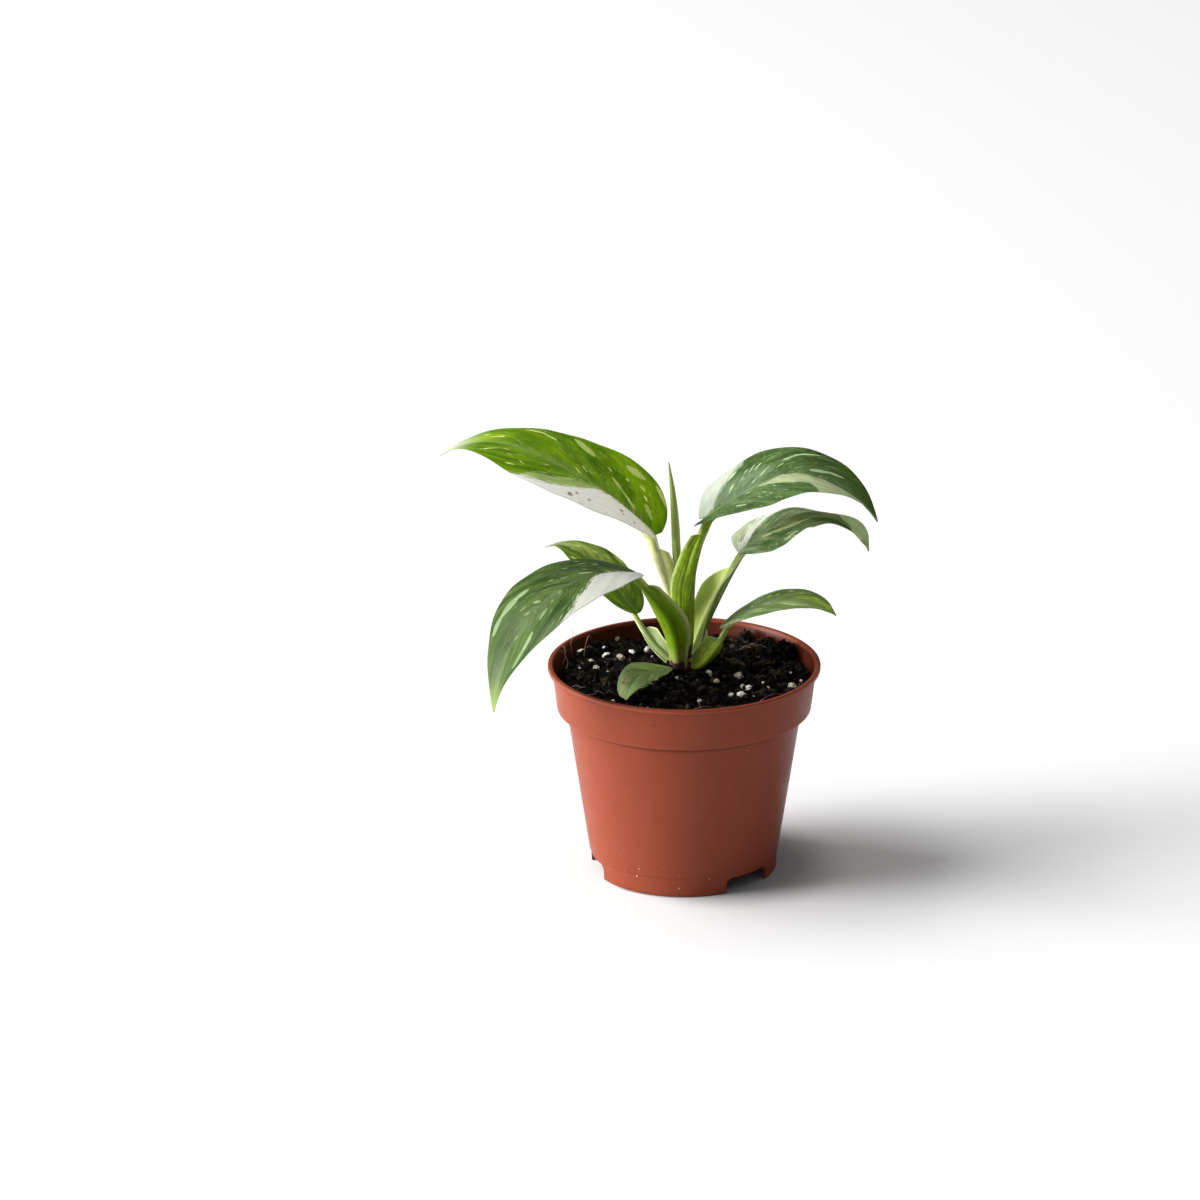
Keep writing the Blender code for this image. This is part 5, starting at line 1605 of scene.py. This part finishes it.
def blade_greens(tree, name, veined, wavering, vein, reach):
    """The greens of a blade with its faint side veins. Also returns the mask of the veins and
    the fine stripes, for the relief, and the colour of the flecks before the lift."""
    look = BLADES[name]
    dark, middle, light = (from_screen(green) for green in look["greens"])

    def before_lift(colour):
        return tuple(channel / up for channel, up in zip(colour, look["lift"]))

    broad = tree.noise(tree.stretched(veined, (1.0, 2.0, 1.0)), 0.15, 4.0, 0.6)
    streaky = tree.noise(veined, 0.62, 4.0, 0.65)
    colour = tree.mix(tree.between(broad, 0.0, 1.0, 0.36, 0.62, smooth=True), dark, middle)
    for tint, strength, start, end, half_width, softness in look["washes"]:
        mask = streak(tree, wavering, flat_place(name, start), flat_place(name, end),
                      half_width, softness)
        colour = tree.mix(tree.times(mask, strength), colour, from_screen(tint))
    lighter, darker = look["stripes"]
    colour = tree.mix(tree.between(streaky, 0.0, lighter, 0.52, 0.68, smooth=True), colour, light)
    deep = tree.noise(tree.stretched(veined, (1.0, 2.2, 1.0), (41.0, 7.0, 0.0)), 0.19, 4.0, 0.58)
    colour = tree.mix(tree.between(deep, 0.0, darker, 0.46, 0.62, smooth=True), colour, dark)

    # A greyer band beside the midrib, and the side veins as faint lines.
    rib_band = tree.between(reach, look["band"], 0.0, 0.02, 0.24, smooth=True)
    colour = tree.mix(rib_band, colour, blended(middle, before_lift(BAND_TINT), 0.55))
    beat = tree.times(vein, look["veins"] * 2.0 * math.pi, 0.5)
    line = tree.math("POWER", tree.math("ABSOLUTE", tree.math("COSINE", beat)), 60.0)
    colour = tree.mix(tree.times(line, 0.12), colour, light)
    return colour, line, streaky, before_lift(from_screen(look["fleck"]))


def blade_material(name, values):
    """A variegated blade: greens that follow the veins, white and cream sectors, streaks
    along the veins, flecks, brown spots, a pale tip and a paler underside."""
    look = BLADES[name]
    material, tree, shader = new_material("blade_" + name)
    place = tree.own_place()
    position, spread, vein = tree.axes(tree.attribute("blade_part"))
    flat = tree.attribute("blade_flat")
    _, flat_y, under = tree.axes(flat)
    reach = tree.math("ABSOLUTE", spread)
    light, fleck = from_screen(look["greens"][2]), from_screen(look["fleck"])

    # Coordinates that run along the side veins, so that every patch is drawn out along them.
    veined = tree.join(tree.times(vein, LEAVES[name]["length"] * 1000.0),
                       tree.times(flat_y, 0.36), tree.math("SIGN", spread))
    waver = tree.noise(veined, 1.3, 4.0, 0.65, colour=True)
    waver = tree.vector("SUBTRACT", waver, (0.5, 0.5, 0.5))
    wavering = tree.vector("ADD", tree.vector("MULTIPLY", flat, (1.0, 1.0, 0.0)),
                           tree.vector("MULTIPLY", waver, (1.6, 1.1, 0.0)))
    colour, line, streaky, faint_fleck = blade_greens(tree, name, veined, wavering, vein, reach)

    # Small flecks anywhere in the green.
    torn = tree.vector("ADD", veined, tree.vector("MULTIPLY", waver, (1.3, 0.9, 0.0)))
    for stretch, scale, core, edge, channel, strength in FLECK_KINDS:
        distance, chance = tree.cells(tree.stretched(torn, stretch), scale)
        near = tree.between(distance, 1.0, 0.0, core, edge)
        chosen = tree.math("LESS_THAN", tree.axes(chance)[channel], look["flecks"] * FLECK_SHARE)
        colour = tree.mix(tree.times(near, chosen, strength), colour, faint_fleck)
    colour = tree.vector("MULTIPLY", colour, look["lift"])

    # Sectors whose borders run out in ragged teeth along the veins.
    ragged = tree.minus(tree.noise(veined, 0.85, 5.0, 0.78), 0.5)
    whiteness = tree.times(under, 0.0)
    for tint, side, raggedness, low, high in look["sectors"]:
        out = tree.plus(tree.times(spread, float(side)), tree.times(ragged, raggedness))
        inner = tree.minus(out, border_curve(tree, position, low))
        outer = tree.minus(border_curve(tree, position, high), out)
        edge = tree.math("MINIMUM", inner, outer)
        mask = tree.plus(tree.math("DIVIDE", edge, SECTOR_SOFTNESS), 0.5, clamp=True)
        tint = from_screen(tint)
        darker = toned(tint, 0.92 - 0.8 * (max(tint) - min(tint)))
        tone = tree.mix(mottle(tree, veined, 0.9, 0.40, 0.66), tint, darker)
        colour = tree.mix(mask, colour, tone)
        whiteness = tree.math("MAXIMUM", whiteness, mask)

    # Streaks that lie in set places.
    broken = tree.between(tree.noise(veined, 2.6, 3.0, 0.6), 0.5, 1.0, 0.36, 0.46)
    for *ends, half_width, strength in look["streaks"]:
        start, end = flat_place(name, ends[:2]), flat_place(name, ends[2:])
        mask = streak(tree, wavering, start, end, half_width)
        colour = tree.mix(tree.times(mask, broken, strength), colour, fleck)

    # The midrib, brown spots, the tip, the margin and the underside.
    rib = tree.between(tree.math("ABSOLUTE", flat_y), 1.0, 0.0, 0.12, 0.45, smooth=True)
    rib = tree.times(rib, tree.between(position, 0.60, 0.05, 0.0, 0.7))
    colour = tree.mix(rib, colour, blended(fleck, light, 0.65))
    for *spot, radius in look["spots"]:
        x, y, _ = flat_place(name, spot)
        ends = ((x, y, 0.0), (x + 0.25, y + 0.15, 0.0))
        mask = streak(tree, wavering, *ends, radius * 1.5, 0.5)
        colour = tree.mix(tree.times(mask, 0.35), colour, SPOT_HALO)
        mask = streak(tree, wavering, *ends, radius, 0.35)
        blot = mottle(tree, place, 1500.0, 0.38, 0.55)
        colour = tree.mix(tree.times(mask, tree.between(blot, 0.35, 0.95)), colour, SPOT_BROWN)
    tint, start, strength = look["tip"]
    tint = from_screen(tint)
    tip = tree.between(position, 0.0, strength, start, 0.975, smooth=True)
    colour = tree.mix(tip, colour, tint)
    whiteness = tree.math("MAXIMUM", whiteness, tree.times(tip, min(tint) / max(tint)))
    colour = tree.mix(tree.between(position, 0.0, 0.8, 0.975, 0.985), colour, DRY_TIP)
    colour = tree.mix(tree.between(reach, 0.0, 0.40, 0.97, 0.995), colour, toned(light, 0.7))
    beneath = tree.mix(0.5, colour, blended(light, UNDERSIDE, 0.4))
    colour = tree.mix(under, colour, beneath)

    gloss = tree.between(tree.noise(place, 260.0, 3.0, 0.6), 0.36, 0.48, 0.3, 0.7)
    grain = tree.times(tree.noise(veined, 5.0, 2.0, 0.6), 0.35)
    relief = tree.plus(tree.plus(grain, tree.times(line, -0.5)), tree.times(streaky, 0.5))
    tree.dress(shader, colour, tree.plus(gloss, tree.times(under, 0.15)), relief, 0.3, 0.0002,
               {"Specular IOR Level": look["shine"]})
    # Light passes the blade: it enters by one face, leaves by the other and turns yellower,
    # but not in the white sectors.
    warm = tree.mix(1.0, colour, PASSED_LIGHT, blend="MULTIPLY")
    through = tree.add("ShaderNodeBsdfTranslucent", {"Color": tree.mix(whiteness, warm, colour)})
    inside = tree.add("ShaderNodeNewGeometry").outputs["Backfacing"]
    share = tree.between(inside, values.light_through, 0.92)
    both = tree.add("ShaderNodeMixShader",
                    {0: share, 1: shader.outputs[0], 2: through.outputs[0]})
    output = next(node for node in tree.tree.nodes if node.type == "OUTPUT_MATERIAL")
    tree.feed(output.inputs["Surface"], both.outputs[0])
    return material


def build_blades():
    values = settings().plant
    for name in LEAVES:
        vertices, faces, part, flat = blade_mesh(name, values)
        piece = make_piece("blade_" + name, vertices, faces, blade_material(name, values),
                           ["leaf_" + name], "leaf", 60.0)
        store(piece.data, "blade_part", part)
        store(piece.data, "blade_flat", flat)


# ---- stalks, new leaf, scale leaf and stem --------------------------------------------

def stalk_mesh(name):
    """A rod with a sheath whose section is an arc that is thick in the middle. It runs on
    under its blade as the foot of the midrib. Returns each vertex's place as well."""
    stalk, leaf = STALKS[name], LEAVES[name]
    foot, forward, _, normal = (part[0] for part in blade_frame(leaf, np.zeros(1)))
    top = foot + forward * STALK_HOLD - normal * STALK_DROP
    position = np.linspace(0.0, 1.0, STALK_STATIONS)
    centres = along(stalk["path"] + (tuple(top),), position)
    azimuth = np.radians(along(stalk["inward"], position))
    opening = np.stack([np.cos(azimuth), np.sin(azimuth), np.zeros_like(azimuth)], axis=-1)
    bend, rod = (along(stalk[key], position) for key in ("bend", "rod"))
    wings = []
    for wing, end, rounding in zip(stalk["wings"], stalk["ends"], stalk["rounding"]):
        kept = np.sqrt(np.clip((end - position) / rounding, 0.0, 1.0))
        wings.append(rod + (along(wing, position) / 10000.0 - rod) * kept)
    # The run under the blade.
    midrib, _, _, up = blade_frame(leaf, np.linspace(*RUN_PART, RUN_STATIONS))
    ease = np.linspace(0.0, 1.0, RUN_STATIONS)
    sink = STALK_DROP * (1.0 - ease) + RUN_DROP * ease
    centres = np.concatenate([centres, midrib - up * sink[:, None]])
    opening = np.concatenate([opening, up])
    front, back, rod = (np.concatenate([width, width[-1] * (1.0 - ease) + RUN_RADIUS * ease])
                        for width in (*wings, rod))
    bend = np.concatenate([bend, np.full(RUN_STATIONS, bend[-1])])
    for _ in range(STALK_SMOOTHING):
        for line in (centres, opening):
            line[1:-1] = (line[:-2] + 2.0 * line[1:-1] + line[2:]) / 4.0
    forward = unit(np.gradient(centres, axis=0))
    opening = unit(opening - forward * np.sum(opening * forward, axis=-1, keepdims=True))
    side = np.cross(opening, forward)
    spread = np.linspace(-1.0, 1.0, STALK_COLUMNS)
    vertices, places = [], []
    for ring, centre in enumerate(centres):
        part = ring / (STALK_STATIONS - 1)
        hub = centre + opening[ring] * bend[ring]
        outer, inner = [], []
        for place in spread:
            distance = place * (front if place >= 0.0 else back)[ring]
            crown = math.sqrt(max(0.0, 1.0 - (distance / rod[ring]) ** 2))
            wall = SHEATH_WALL + (SHEATH_EDGE - SHEATH_WALL) * abs(place) ** 3
            thick = max(min(wall, ROD_DEPTH * rod[ring]), ROD_DEPTH * rod[ring] * crown)
            angle = distance / bend[ring]
            out = side[ring] * math.sin(angle) - opening[ring] * math.cos(angle)
            outer.append(hub + out * (bend[ring] + thick / 2))
            inner.append(hub + out * (bend[ring] - thick / 2))
        vertices += outer + inner[::-1]
        places += [(part, place, 0.0) for place in spread]
        places += [(part, place, 1.0) for place in spread[::-1]]
    return vertices, tube_faces(len(centres), 2 * STALK_COLUMNS), places


def stalk_material(name):
    """A fleshy green stalk with long streaks, a paler inner face and whitish margins."""
    *tints, streakiness, margins = STALK_LOOKS[name]
    rod, sheath, inner, margin = (from_screen(tint) for tint in tints)
    material, tree, shader = new_material("stalk_" + name)
    place = tree.own_place()
    part = tree.attribute("stalk_part")
    run, across, inside = tree.axes(part)
    reach = tree.math("ABSOLUTE", across)
    colour = tree.mix(tree.between(reach, 0.0, 1.0, 0.15, 0.6, smooth=True), rod, sheath)
    lines = tree.noise(tree.stretched(part, (1.6, 9.0, 3.0)), 1.0, 4.0, 0.6)
    for low, high, before, after, tint in ((1.0, 0.0, 0.36, 0.52, toned(rod, 0.55)),
                                           (0.0, 1.0, 0.56, 0.74, margin)):
        mask = tree.between(lines, low, high, before, after)
        colour = tree.mix(tree.times(mask, streakiness), colour, tint)
    fibres = tree.noise(tree.stretched(part, (3.5, 30.0, 3.0)), 1.0, 3.0, 0.65)
    cloudy = tree.noise(place, 420.0, 3.0, 0.6)
    for pattern, depth in ((fibres, 0.36 * streakiness), (cloudy, 0.2 * streakiness)):
        colour = tree.scale(colour, tree.between(pattern, 1.0 - depth, 1.0 + depth, 0.36, 0.64))
    hollow = tree.times(inside, tree.between(run, 1.0, 0.25, 0.78, 0.92))
    lined = tree.mix(tree.between(lines, 0.0, 0.25, 0.4, 0.7), inner, margin)
    colour = tree.mix(hollow, colour, lined)
    foot = tree.between(run, 1.0, 0.0, 0.05, 0.20, smooth=True)
    colour = tree.mix(tree.times(foot, 0.6), colour, STALK_FOOT)
    uneven = tree.plus(run, tree.times(tree.noise(place, 700.0, 3.0), 0.06))
    colour = tree.mix(tree.between(uneven, 1.0, 0.0, 0.075, 0.095), colour, STALK_SCAR)
    edges = [tree.between(tree.times(across, side), 0.0, 0.8, start, min(start + 0.26, 0.97),
                          smooth=True) for side, start in zip((1.0, -1.0), margins)]
    colour = tree.mix(tree.plus(*edges), colour, margin)
    flecks = specks(tree, place, 900.0, 0.10, 0.22)
    colour = tree.mix(tree.times(flecks, 0.25), colour, margin)
    colour = tree.scale(colour, tree.between(fibres, 0.94, 1.06, 0.36, 0.64))
    rough = tree.between(tree.noise(place, 300.0, 3.0), 0.36, 0.52, 0.3, 0.7)
    tree.dress(shader, colour, rough, lines, 0.35, 0.0003, {
        "Specular IOR Level": 0.15, "Subsurface Weight": 0.20,
        "Subsurface Radius": (0.6, 0.8, 0.05), "Subsurface Scale": 0.0012})
    return material


def build_stalks():
    for name in STALKS:
        vertices, faces, places = stalk_mesh(name)
        piece = make_piece("stalk_" + name, vertices, faces, stalk_material(name),
                           ["petiole_" + name], "stalk", 60.0)
        store(piece.data, "stalk_part", places)


def rolled(angle, position):
    """Share of the radius round a rolled leaf, with the step where its edge lies."""
    turn = (angle + 2.2 + 1.6 * position) % (2.0 * math.pi) / (2.0 * math.pi)
    return 0.86 + 0.16 * turn


def shoot_material(name, pale, green, dark):
    """A young leaf or scale, paler on one side and lined along its length."""
    material, tree, shader = new_material(name)
    place = tree.own_place()
    part = tree.attribute("shoot_part")
    run, angle, _ = tree.axes(part)
    lines = tree.noise(tree.stretched(part, (2.0, 14.0, 1.0)), 1.0, 3.0, 0.55)
    facing = tree.math("COSINE", tree.minus(angle, 3.5))
    colour = tree.mix(tree.between(facing, 0.0, 1.0, -0.2, 0.8, smooth=True), green, pale)
    colour = tree.mix(tree.between(lines, 0.0, 0.6, 0.5, 0.7), colour, dark)
    colour = tree.mix(tree.between(run, 0.0, 0.7, 0.90, 1.0), colour, DRY_SHOOT_TIP)
    rough = tree.between(tree.noise(place, 400.0), 0.38, 0.55, 0.3, 0.7)
    tree.dress(shader, colour, rough, lines, 0.3, 0.0002, {
        "Subsurface Weight": 0.2, "Subsurface Radius": (0.5, 0.8, 0.2),
        "Subsurface Scale": 0.001})
    return material


def build_shoots():
    for name, shoot in SHOOTS.items():
        stations, around = shoot["stations"], shoot["around"]
        twist = rolled if shoot["node"] == "new_leaf" else None
        vertices, faces = tube(shoot["course"], shoot["radii"], around, stations,
                               shoot["flatness"], twist)
        material = shoot_material(shoot["look"], *map(from_screen, shoot["tints"]))
        piece = make_piece(name, vertices, faces, material, [shoot["node"]], "leaf",
                           shoot["smooth"])
        store(piece.data, "shoot_part", [
            (ring / (stations - 1), 2.0 * math.pi * step / around, 0.0)
            for ring in range(stations) for step in range(around)])


def stem_mesh(segments=64, rings=72):
    """The short stem with the scars of old leaves round it."""
    radii, heights = zip(*STEM_PROFILE)
    outline = [(0.0, heights[0])]
    for step in range(1, rings):
        height = heights[0] + (heights[-1] - heights[0]) * step / rings
        scar = max(0.0, math.cos(height * 2.0 * math.pi / STEM_SCAR_SPACING)) ** 3
        radius = float(np.interp(height, heights, radii)) - STEM_SCAR_DEPTH * scar
        outline.append((max(0.0001, radius), height))
    outline.append((0.0, heights[-1]))
    vertices, faces = turned(outline, segments, STEM_X, STEM_Y)
    rough = []
    for x, y, z in vertices:
        bump = 1.0 + 0.05 * noise.noise(Vector((x, y, z)) * 700.0)
        rough.append((STEM_X + (x - STEM_X) * bump, STEM_Y + (y - STEM_Y) * bump, z))
    return rough, faces


def build_stem():
    material, tree, shader = new_material("stem_crown")
    place = tree.own_place()
    upward = tree.between(tree.axes(place)[2], 0.0, 1.0, 0.079, 0.084)
    colour = tree.mix(upward, from_screen(STEM_BROWN), from_screen(STEM_GREEN))
    colour = tree.mix(mottle(tree, place, 520.0, 0.45, 0.7), colour, STEM_DIRT)
    tree.dress(shader, colour, tree.between(tree.noise(place, 500.0), 0.5, 0.85),
               tree.noise(place, 900.0, 4.0), 0.6, 0.0004)
    make_piece("stem_crown", *stem_mesh(), material, ["stem"], "stalk", 60.0)


# ---- stage ----------------------------------------------------------------------------

KEY_SIZE = (3.6, 2.7)
SIDE_SIZE = (2.6, 1.5)
SENSOR_WIDTH = 36.0
FLOOR_DROP = 0.00005
# The paper lies in deep shade beside the foot, away from the key light: how far off the axis
# the shade's middle is, its inner and outer radius, its strength and its tint.
SHADE_OFFSET = (0.0180, -0.0020)
SHADE_RADII = (0.022, 0.050)
SHADE_STRENGTH = 0.55
SHADE_TINT = (0.0, 0.012, 0.010)
# The thin painted contact shadow under the foot ring, and where it fades out towards the light.
LINE_WIDTH = 0.0016
LINE_FADE = (-0.029, -0.022)

def add_light(name, azimuth, elevation, power, size):
    """A rectangular soft light that faces the pot."""
    level = math.cos(elevation)
    away = Vector((level * math.cos(azimuth), level * math.sin(azimuth), math.sin(elevation)))
    lamp = bpy.data.lights.new(name, "AREA")
    lamp.shape, lamp.energy = "RECTANGLE", power
    lamp.size, lamp.size_y = size
    light = link(bpy.data.objects.new(name, lamp))
    rim = AXIS + Vector((0.0, 0.0, POT_HEIGHT))
    light.location = rim + away * settings().stage.light_distance
    light.rotation_euler = (-away).to_track_quat("-Z", "Y").to_euler()


def add_floor(values):
    """A sheet of pale paper with the shade that the foot keeps on it."""
    half = values.floor_size / 2.0
    mesh = bpy.data.meshes.new("floor")
    corners = [(-half, -half, 0.0), (half, -half, 0.0), (half, half, 0.0), (-half, half, 0.0)]
    mesh.from_pydata(corners, [], [(0, 1, 2, 3)])
    material, tree, shader = new_material("floor_paper")
    place = tree.own_place()
    paper = tree.mix(tree.noise(place, 3.0), tuple(values.floor_colour),
                     toned(values.floor_colour, 0.995))
    middle = (AXIS.x + SHADE_OFFSET[0], AXIS.y + SHADE_OFFSET[1], 0.0)
    beside = tree.vector("LENGTH", tree.vector("SUBTRACT", place, middle))
    shade = tree.between(beside, SHADE_STRENGTH, 0.0, *SHADE_RADII, smooth=True)
    off = tree.vector("SUBTRACT", place, (AXIS.x, AXIS.y, 0.0))
    # A painted contact shadow under the foot ring, joined to the painted shade beside the foot.
    gap = tree.away(tree.vector("LENGTH", off), FOOT_RADIUS)
    line = tree.times(tree.between(gap, SHADE_STRENGTH, 0.0, 0.0, LINE_WIDTH, smooth=True),
                      tree.between(tree.axes(off)[0], 0.0, 1.0, *LINE_FADE))
    paper = tree.mix(tree.math("MAXIMUM", shade, line), paper, SHADE_TINT)
    tree.feed(shader.inputs["Base Color"], paper)
    shader.inputs["Roughness"].default_value = 0.9
    shader.inputs["Specular IOR Level"].default_value = 0.1
    mesh.materials.append(material)
    floor = link(bpy.data.objects.new("floor", mesh))
    floor.location.z = -FLOOR_DROP


def add_surroundings(values):
    """White surroundings that are brightest straight above."""
    world = bpy.data.worlds.new("studio")
    world.use_nodes = True
    sky = Tree(world.node_tree)
    rise = sky.axes(sky.add("ShaderNodeTexCoord").outputs["Generated"])[2]
    background = world.node_tree.nodes["Background"]
    background.inputs["Color"].default_value = (1.0, 1.0, 1.0, 1.0)
    sky.feed(background.inputs["Strength"], sky.between(rise, values.horizon, values.overhead))
    bpy.context.scene.world = world


def add_camera(values):
    pitch, yaw, roll = values.camera_pitch, values.camera_yaw, values.camera_roll
    level = math.cos(pitch)
    forward = Vector((math.sin(yaw) * level, math.cos(yaw) * level, -math.sin(pitch)))
    right = Vector((math.cos(yaw), -math.sin(yaw), 0.0))
    up = right.cross(forward)
    turned_right = right * math.cos(roll) + up * math.sin(roll)
    turned_up = up * math.cos(roll) - right * math.sin(roll)
    camera = bpy.data.cameras.new("camera")
    camera.lens, camera.sensor_width = values.camera_lens, SENSOR_WIDTH
    viewer = link(bpy.data.objects.new("camera", camera))
    rotation = Matrix((turned_right, turned_up, -forward)).transposed().to_4x4()
    place = Vector((AXIS.x, AXIS.y - values.camera_distance, values.camera_height))
    viewer.matrix_world = Matrix.Translation(place) @ rotation
    bpy.context.scene.camera = viewer


def build_stage():
    values = settings().stage
    add_floor(values)
    add_surroundings(values)
    add_light("key", values.key_azimuth, values.key_elevation, values.key_power, KEY_SIZE)
    add_light("side", values.side_azimuth, values.side_elevation, values.side_power, SIDE_SIZE)
    add_camera(values)
    bpy.context.scene.view_settings.view_transform = "Standard"


# ---- operators ------------------------------------------------------------------------

class PHILODENDRON_OT_pot(bpy.types.Operator):
    """Build the plastic pot with its rolled rim, collar, foot notches and drain holes"""
    bl_idname = "philodendron.pot"
    bl_label = "Pot"

    def execute(self, context):
        build_pot()
        return {"FINISHED"}


class PHILODENDRON_OT_mix(bpy.types.Operator):
    """Build the potting mix with its crumbs and slivers"""
    bl_idname = "philodendron.mix"
    bl_label = "Potting mix"

    def execute(self, context):
        build_mix()
        return {"FINISHED"}


class PHILODENDRON_OT_perlite(bpy.types.Operator):
    """Build the grains of perlite"""
    bl_idname = "philodendron.perlite"
    bl_label = "Perlite"

    def execute(self, context):
        build_perlite()
        return {"FINISHED"}


class PHILODENDRON_OT_bark(bpy.types.Operator):
    """Build the chips of bark"""
    bl_idname = "philodendron.bark"
    bl_label = "Bark chips"

    def execute(self, context):
        build_bark()
        return {"FINISHED"}


class PHILODENDRON_OT_roots(bpy.types.Operator):
    """Build the loose root fibres and finish the roots in the mix"""
    bl_idname = "philodendron.roots"
    bl_label = "Roots"

    def execute(self, context):
        build_fibres()
        finish_roots()
        return {"FINISHED"}


class PHILODENDRON_OT_stem(bpy.types.Operator):
    """Build the short stem"""
    bl_idname = "philodendron.stem"
    bl_label = "Stem"

    def execute(self, context):
        build_stem()
        return {"FINISHED"}


class PHILODENDRON_OT_stalks(bpy.types.Operator):
    """Build the stalks with their sheaths"""
    bl_idname = "philodendron.stalks"
    bl_label = "Stalks"

    def execute(self, context):
        build_stalks()
        return {"FINISHED"}


class PHILODENDRON_OT_blades(bpy.types.Operator):
    """Build the seven variegated blades"""
    bl_idname = "philodendron.blades"
    bl_label = "Blades"

    def execute(self, context):
        build_blades()
        return {"FINISHED"}


class PHILODENDRON_OT_shoots(bpy.types.Operator):
    """Build the rolled new leaf and the scale leaf"""
    bl_idname = "philodendron.shoots"
    bl_label = "New leaf and scale leaf"

    def execute(self, context):
        build_shoots()
        return {"FINISHED"}


class PHILODENDRON_OT_stage(bpy.types.Operator):
    """Set up the floor, the light and the camera"""
    bl_idname = "philodendron.stage"
    bl_label = "Stage"

    def execute(self, context):
        build_stage()
        return {"FINISHED"}


OPERATORS = (
    PHILODENDRON_OT_pot, PHILODENDRON_OT_mix, PHILODENDRON_OT_perlite, PHILODENDRON_OT_bark,
    PHILODENDRON_OT_roots, PHILODENDRON_OT_stem, PHILODENDRON_OT_stalks, PHILODENDRON_OT_blades,
    PHILODENDRON_OT_shoots, PHILODENDRON_OT_stage)


class PHILODENDRON_PT_panel(bpy.types.Panel):
    """The plant's operators and settings"""
    bl_idname = "PHILODENDRON_PT_panel"
    bl_label = "Potted philodendron"
    bl_space_type = "VIEW_3D"
    bl_region_type = "UI"
    bl_category = "Philodendron"

    def draw(self, context):
        for operator in OPERATORS:
            self.layout.operator(operator.bl_idname)
        values = context.scene.philodendron
        for part in (values.pot, values.mix, values.plant, values.stage):
            box = self.layout.box()
            for key in part.bl_rna.properties.keys():
                if key not in ("rna_type", "name"):
                    box.prop(part, key)


CLASSES = (PotSettings, MixSettings, PlantSettings, StageSettings, PhilodendronSettings,
           *OPERATORS, PHILODENDRON_PT_panel)


def register():
    for thing in CLASSES:
        bpy.utils.register_class(thing)
    bpy.types.Scene.philodendron = PointerProperty(type=PhilodendronSettings)


def unregister():
    del bpy.types.Scene.philodendron
    for thing in reversed(CLASSES):
        bpy.utils.unregister_class(thing)


def main():
    register()
    for operator in OPERATORS:
        group, name = operator.bl_idname.split(".")
        getattr(getattr(bpy.ops, group), name)()


if __name__ == "__main__":
    main()
